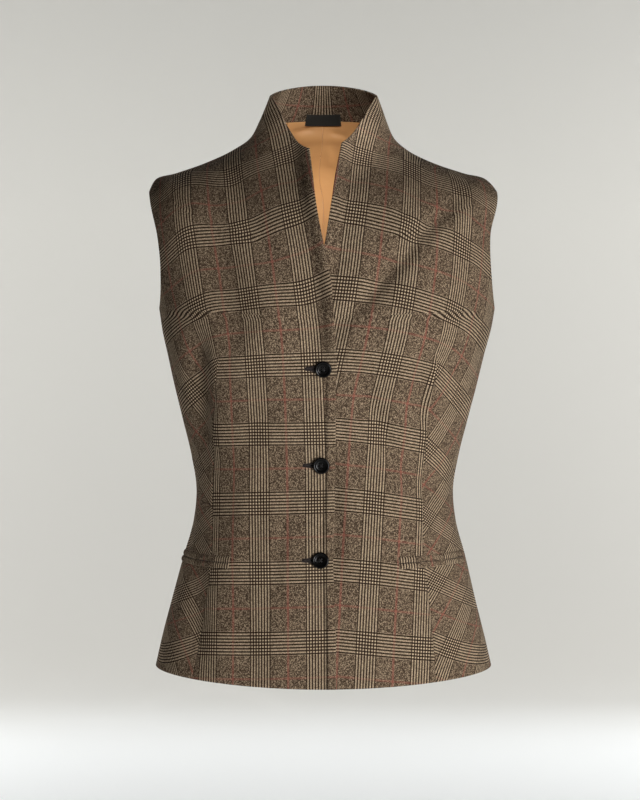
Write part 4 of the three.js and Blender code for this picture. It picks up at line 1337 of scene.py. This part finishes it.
class WAISTCOAT_OT_buttonholes(bpy.types.Operator):
    """Work the corded buttonholes beside the buttons"""

    bl_idname = "waistcoat.buttonholes"
    bl_label = "Buttonholes"

    def execute(self, context):
        colours = colours_of(context)
        twist = finished("buttonhole_twist", dark_ribs, tuple(colours.buttonhole), 0.55, 0.8)
        # Near-black material for the painted shade in the slits
        dark = finished("pocket_dark", dark_ribs, tuple(colours.thread), 0.7, 0.9)
        for name, height in BUTTON_HEIGHTS.items():
            cord = joined_mesh(f"buttonhole_{name}", self.worked(name, height), [twist, dark])
            dress(cord, "thread")
        return {"FINISHED"}

    def worked(self, name, height):
        """A cord round a slit that widens to an eye under the button, over a near-black sheet that is
        painted shade in the slit.
        """
        middle = -(BUTTON_X[name] - float(sway(height)))
        ends = HOLE_OUTER + 1.0, -HOLE_INNER
        share = np.linspace(0, 1, 30)
        reach = mix(ends[0], ends[1], share)
        half = 1.1 + 1.3 * smooth(HOLE_OUTER - 2, 5, reach)
        half *= np.sqrt(np.clip(1 - ((share - 0.5) * 2) ** 12, 0, 1)) * 0.97 + 0.03
        wobble = 0.12 * np.sin(reach * 1.9 + height)
        path_out = np.concatenate([middle + reach, middle + reach[::-1]])
        path_up = np.concatenate([height + half + wobble, height - half[::-1] + wobble[::-1] * 0.6])
        on_cloth = self.on_front(path_out, path_up, 0.55)
        # A near-black sheet inside the cord, painted shade in the slit and its eye
        rows = np.linspace(0, 1, 7)[:, None]
        fill_up = mix(height - half, height + half, rows)
        fill = self.on_front(np.broadcast_to(middle + reach, fill_up.shape), fill_up, 0.12)
        index = np.arange(fill_up.size).reshape(fill_up.shape)
        faces = quads(index).reshape(-1, 4)[:, ::-1].tolist()
        places = np.stack(np.broadcast_arrays(reach, fill_up - height), -1).reshape(-1, 2)
        return [tube(on_cloth, 1.1, 10, closed=True), (fill.reshape(-1, 3), faces, places, 1)]

    def on_front(self, out, height, rise):
        """Points above the right front's outer face."""
        angle, place = locate(out, height)
        point, normal, _ = cloth_point(-1, angle, place)
        front = FRONTS["right"]
        spot = point[..., 0], point[..., 2]
        lift = front.raise_of(*spot) + front.edge_layers(*spot) + rise
        return (point + normal * lift[..., None]) * np.array([-1, 1, 1])


CAMERA_PLACE, CAMERA_LENS = (-0.006, -2.6, -0.257), 107.3
WORLD_COLOUR, WORLD_STRENGTH = (0.9, 0.9, 0.88, 1), 0.06

# Each light's power, place, target and size, and a cone in degrees where it is a spot
LIGHTS = [
    ("key", (0.7, -1.37, -0.34), (0, 0, -0.27), 0.55, None),
    ("low", (0.85, -1.55, -0.7), (0, 0, -0.2), 0.5, None),
    ("fill", (-2.2, -1.7, -0.4), (0, 0, -0.3), 1.8, None),
    ("paper", (-1.9, 0.6, 0.25), (-1.7, 1.7, -0.78), 1.2, None),
    ("paper", (1.9, 0.6, 0.25), (1.7, 1.7, -0.78), 1.2, None),
    ("floor", (0, 1.3, 1.4), (0, 0.62, -0.78), 0.3, 84),
    ("neck", (0.2, -1.5, 0.93), (-0.006, 0.08, -0.012), 0.05, 4.6),
]


class WAISTCOAT_OT_stage(bpy.types.Operator):
    """Set the camera, the studio paper and the lights"""

    bl_idname = "waistcoat.stage"
    bl_label = "Stage"

    def execute(self, context):
        scene = context.scene
        sizes = scene.waistcoat_sizes
        camera = bpy.data.cameras.new("camera")
        camera.lens = CAMERA_LENS
        camera.sensor_width = 36
        viewer = bpy.data.objects.new("camera", camera)
        viewer.location = CAMERA_PLACE
        viewer.rotation_euler = (RIGHT_ANGLE, 0, 0)
        scene.collection.objects.link(viewer)
        scene.camera = viewer
        scene.view_settings.view_transform = "Standard"
        self.hang_paper(context, CAD_BOX[0][2] - sizes.floor_drop)
        for name, place, target, size, cone in LIGHTS:
            self.light(name, place, target, size, getattr(sizes, f"{name}_power"), cone)
        world = bpy.data.worlds.new("studio")
        world.use_nodes = True
        background = world.node_tree.nodes["Background"]
        background.inputs["Color"].default_value = WORLD_COLOUR
        background.inputs["Strength"].default_value = WORLD_STRENGTH
        scene.world = world
        return {"FINISHED"}

    def hang_paper(self, context, floor):
        """Paper that lies on the floor and curves up behind."""
        colours = colours_of(context)
        bend, behind, height, width = 0.9, 1.5, 3.2, 4.0
        curve = [(-3.6, floor)] + [
            (behind + bend * math.sin(turn), floor + bend * (1 - math.cos(turn)))
            for turn in np.linspace(0, RIGHT_ANGLE, 24)
        ] + [(behind + bend, floor + height)]
        vertices = [(x, y, z) for y, z in curve for x in (-width, width)]
        faces = [(2 * k, 2 * k + 1, 2 * k + 3, 2 * k + 2) for k in range(len(curve) - 1)]
        mesh = bpy.data.meshes.new("studio_paper")
        mesh.from_pydata(vertices, [], faces)
        mesh.polygons.foreach_set("use_smooth", np.ones(len(faces), bool))
        shades = tuple(colours.paper), tuple(colours.floor)
        mesh.materials.append(finished("studio_paper", studio_paper, *shades))
        paper = bpy.data.objects.new("studio_paper", mesh)
        context.scene.collection.objects.link(paper)

    def light(self, name, place, target, size, watts, cone):
        """A soft square light, or a spot where it has a cone."""
        lamp = bpy.data.lights.new(f"{name}_light", "SPOT" if cone else "AREA")
        lamp.energy = watts
        if cone:
            lamp.spot_size = math.radians(cone)
            lamp.spot_blend = 0.7
            lamp.shadow_soft_size = size
        else:
            lamp.size = size
        lit = bpy.data.objects.new(lamp.name, lamp)
        lit.location = place
        aim = Vector(target) - Vector(place)
        lit.rotation_euler = aim.to_track_quat("-Z", "Y").to_euler()
        bpy.context.scene.collection.objects.link(lit)


OPERATORS = [
    WAISTCOAT_OT_stage,
    WAISTCOAT_OT_pockets,
    WAISTCOAT_OT_fronts,
    WAISTCOAT_OT_backs,
    WAISTCOAT_OT_linings,
    WAISTCOAT_OT_buttons,
    WAISTCOAT_OT_buttonholes,
]


class WAISTCOAT_PT_panel(bpy.types.Panel):
    """The waistcoat's steps, sizes and colours"""

    bl_label = "Suit waistcoat"
    bl_idname = "WAISTCOAT_PT_panel"
    bl_space_type = "VIEW_3D"
    bl_region_type = "UI"
    bl_category = "Waistcoat"

    def draw(self, context):
        for operator in OPERATORS:
            self.layout.operator(operator.bl_idname)
        for group in (context.scene.waistcoat_sizes, context.scene.waistcoat_colours):
            box = self.layout.box()
            for name in group.bl_rna.properties.keys():
                if name not in ("rna_type", "name"):
                    box.prop(group, name)


CLASSES = [WaistcoatColours, WaistcoatSizes, *OPERATORS, WAISTCOAT_PT_panel]


def register():
    for cls in CLASSES:
        bpy.utils.register_class(cls)
    bpy.types.Scene.waistcoat_colours = PointerProperty(type=WaistcoatColours)
    bpy.types.Scene.waistcoat_sizes = PointerProperty(type=WaistcoatSizes)


def unregister():
    del bpy.types.Scene.waistcoat_sizes
    del bpy.types.Scene.waistcoat_colours
    for cls in reversed(CLASSES):
        bpy.utils.unregister_class(cls)


def main():
    register()
    for operator in OPERATORS:
        group, name = operator.bl_idname.split(".")
        getattr(getattr(bpy.ops, group), name)()


if __name__ == "__main__":
    main()
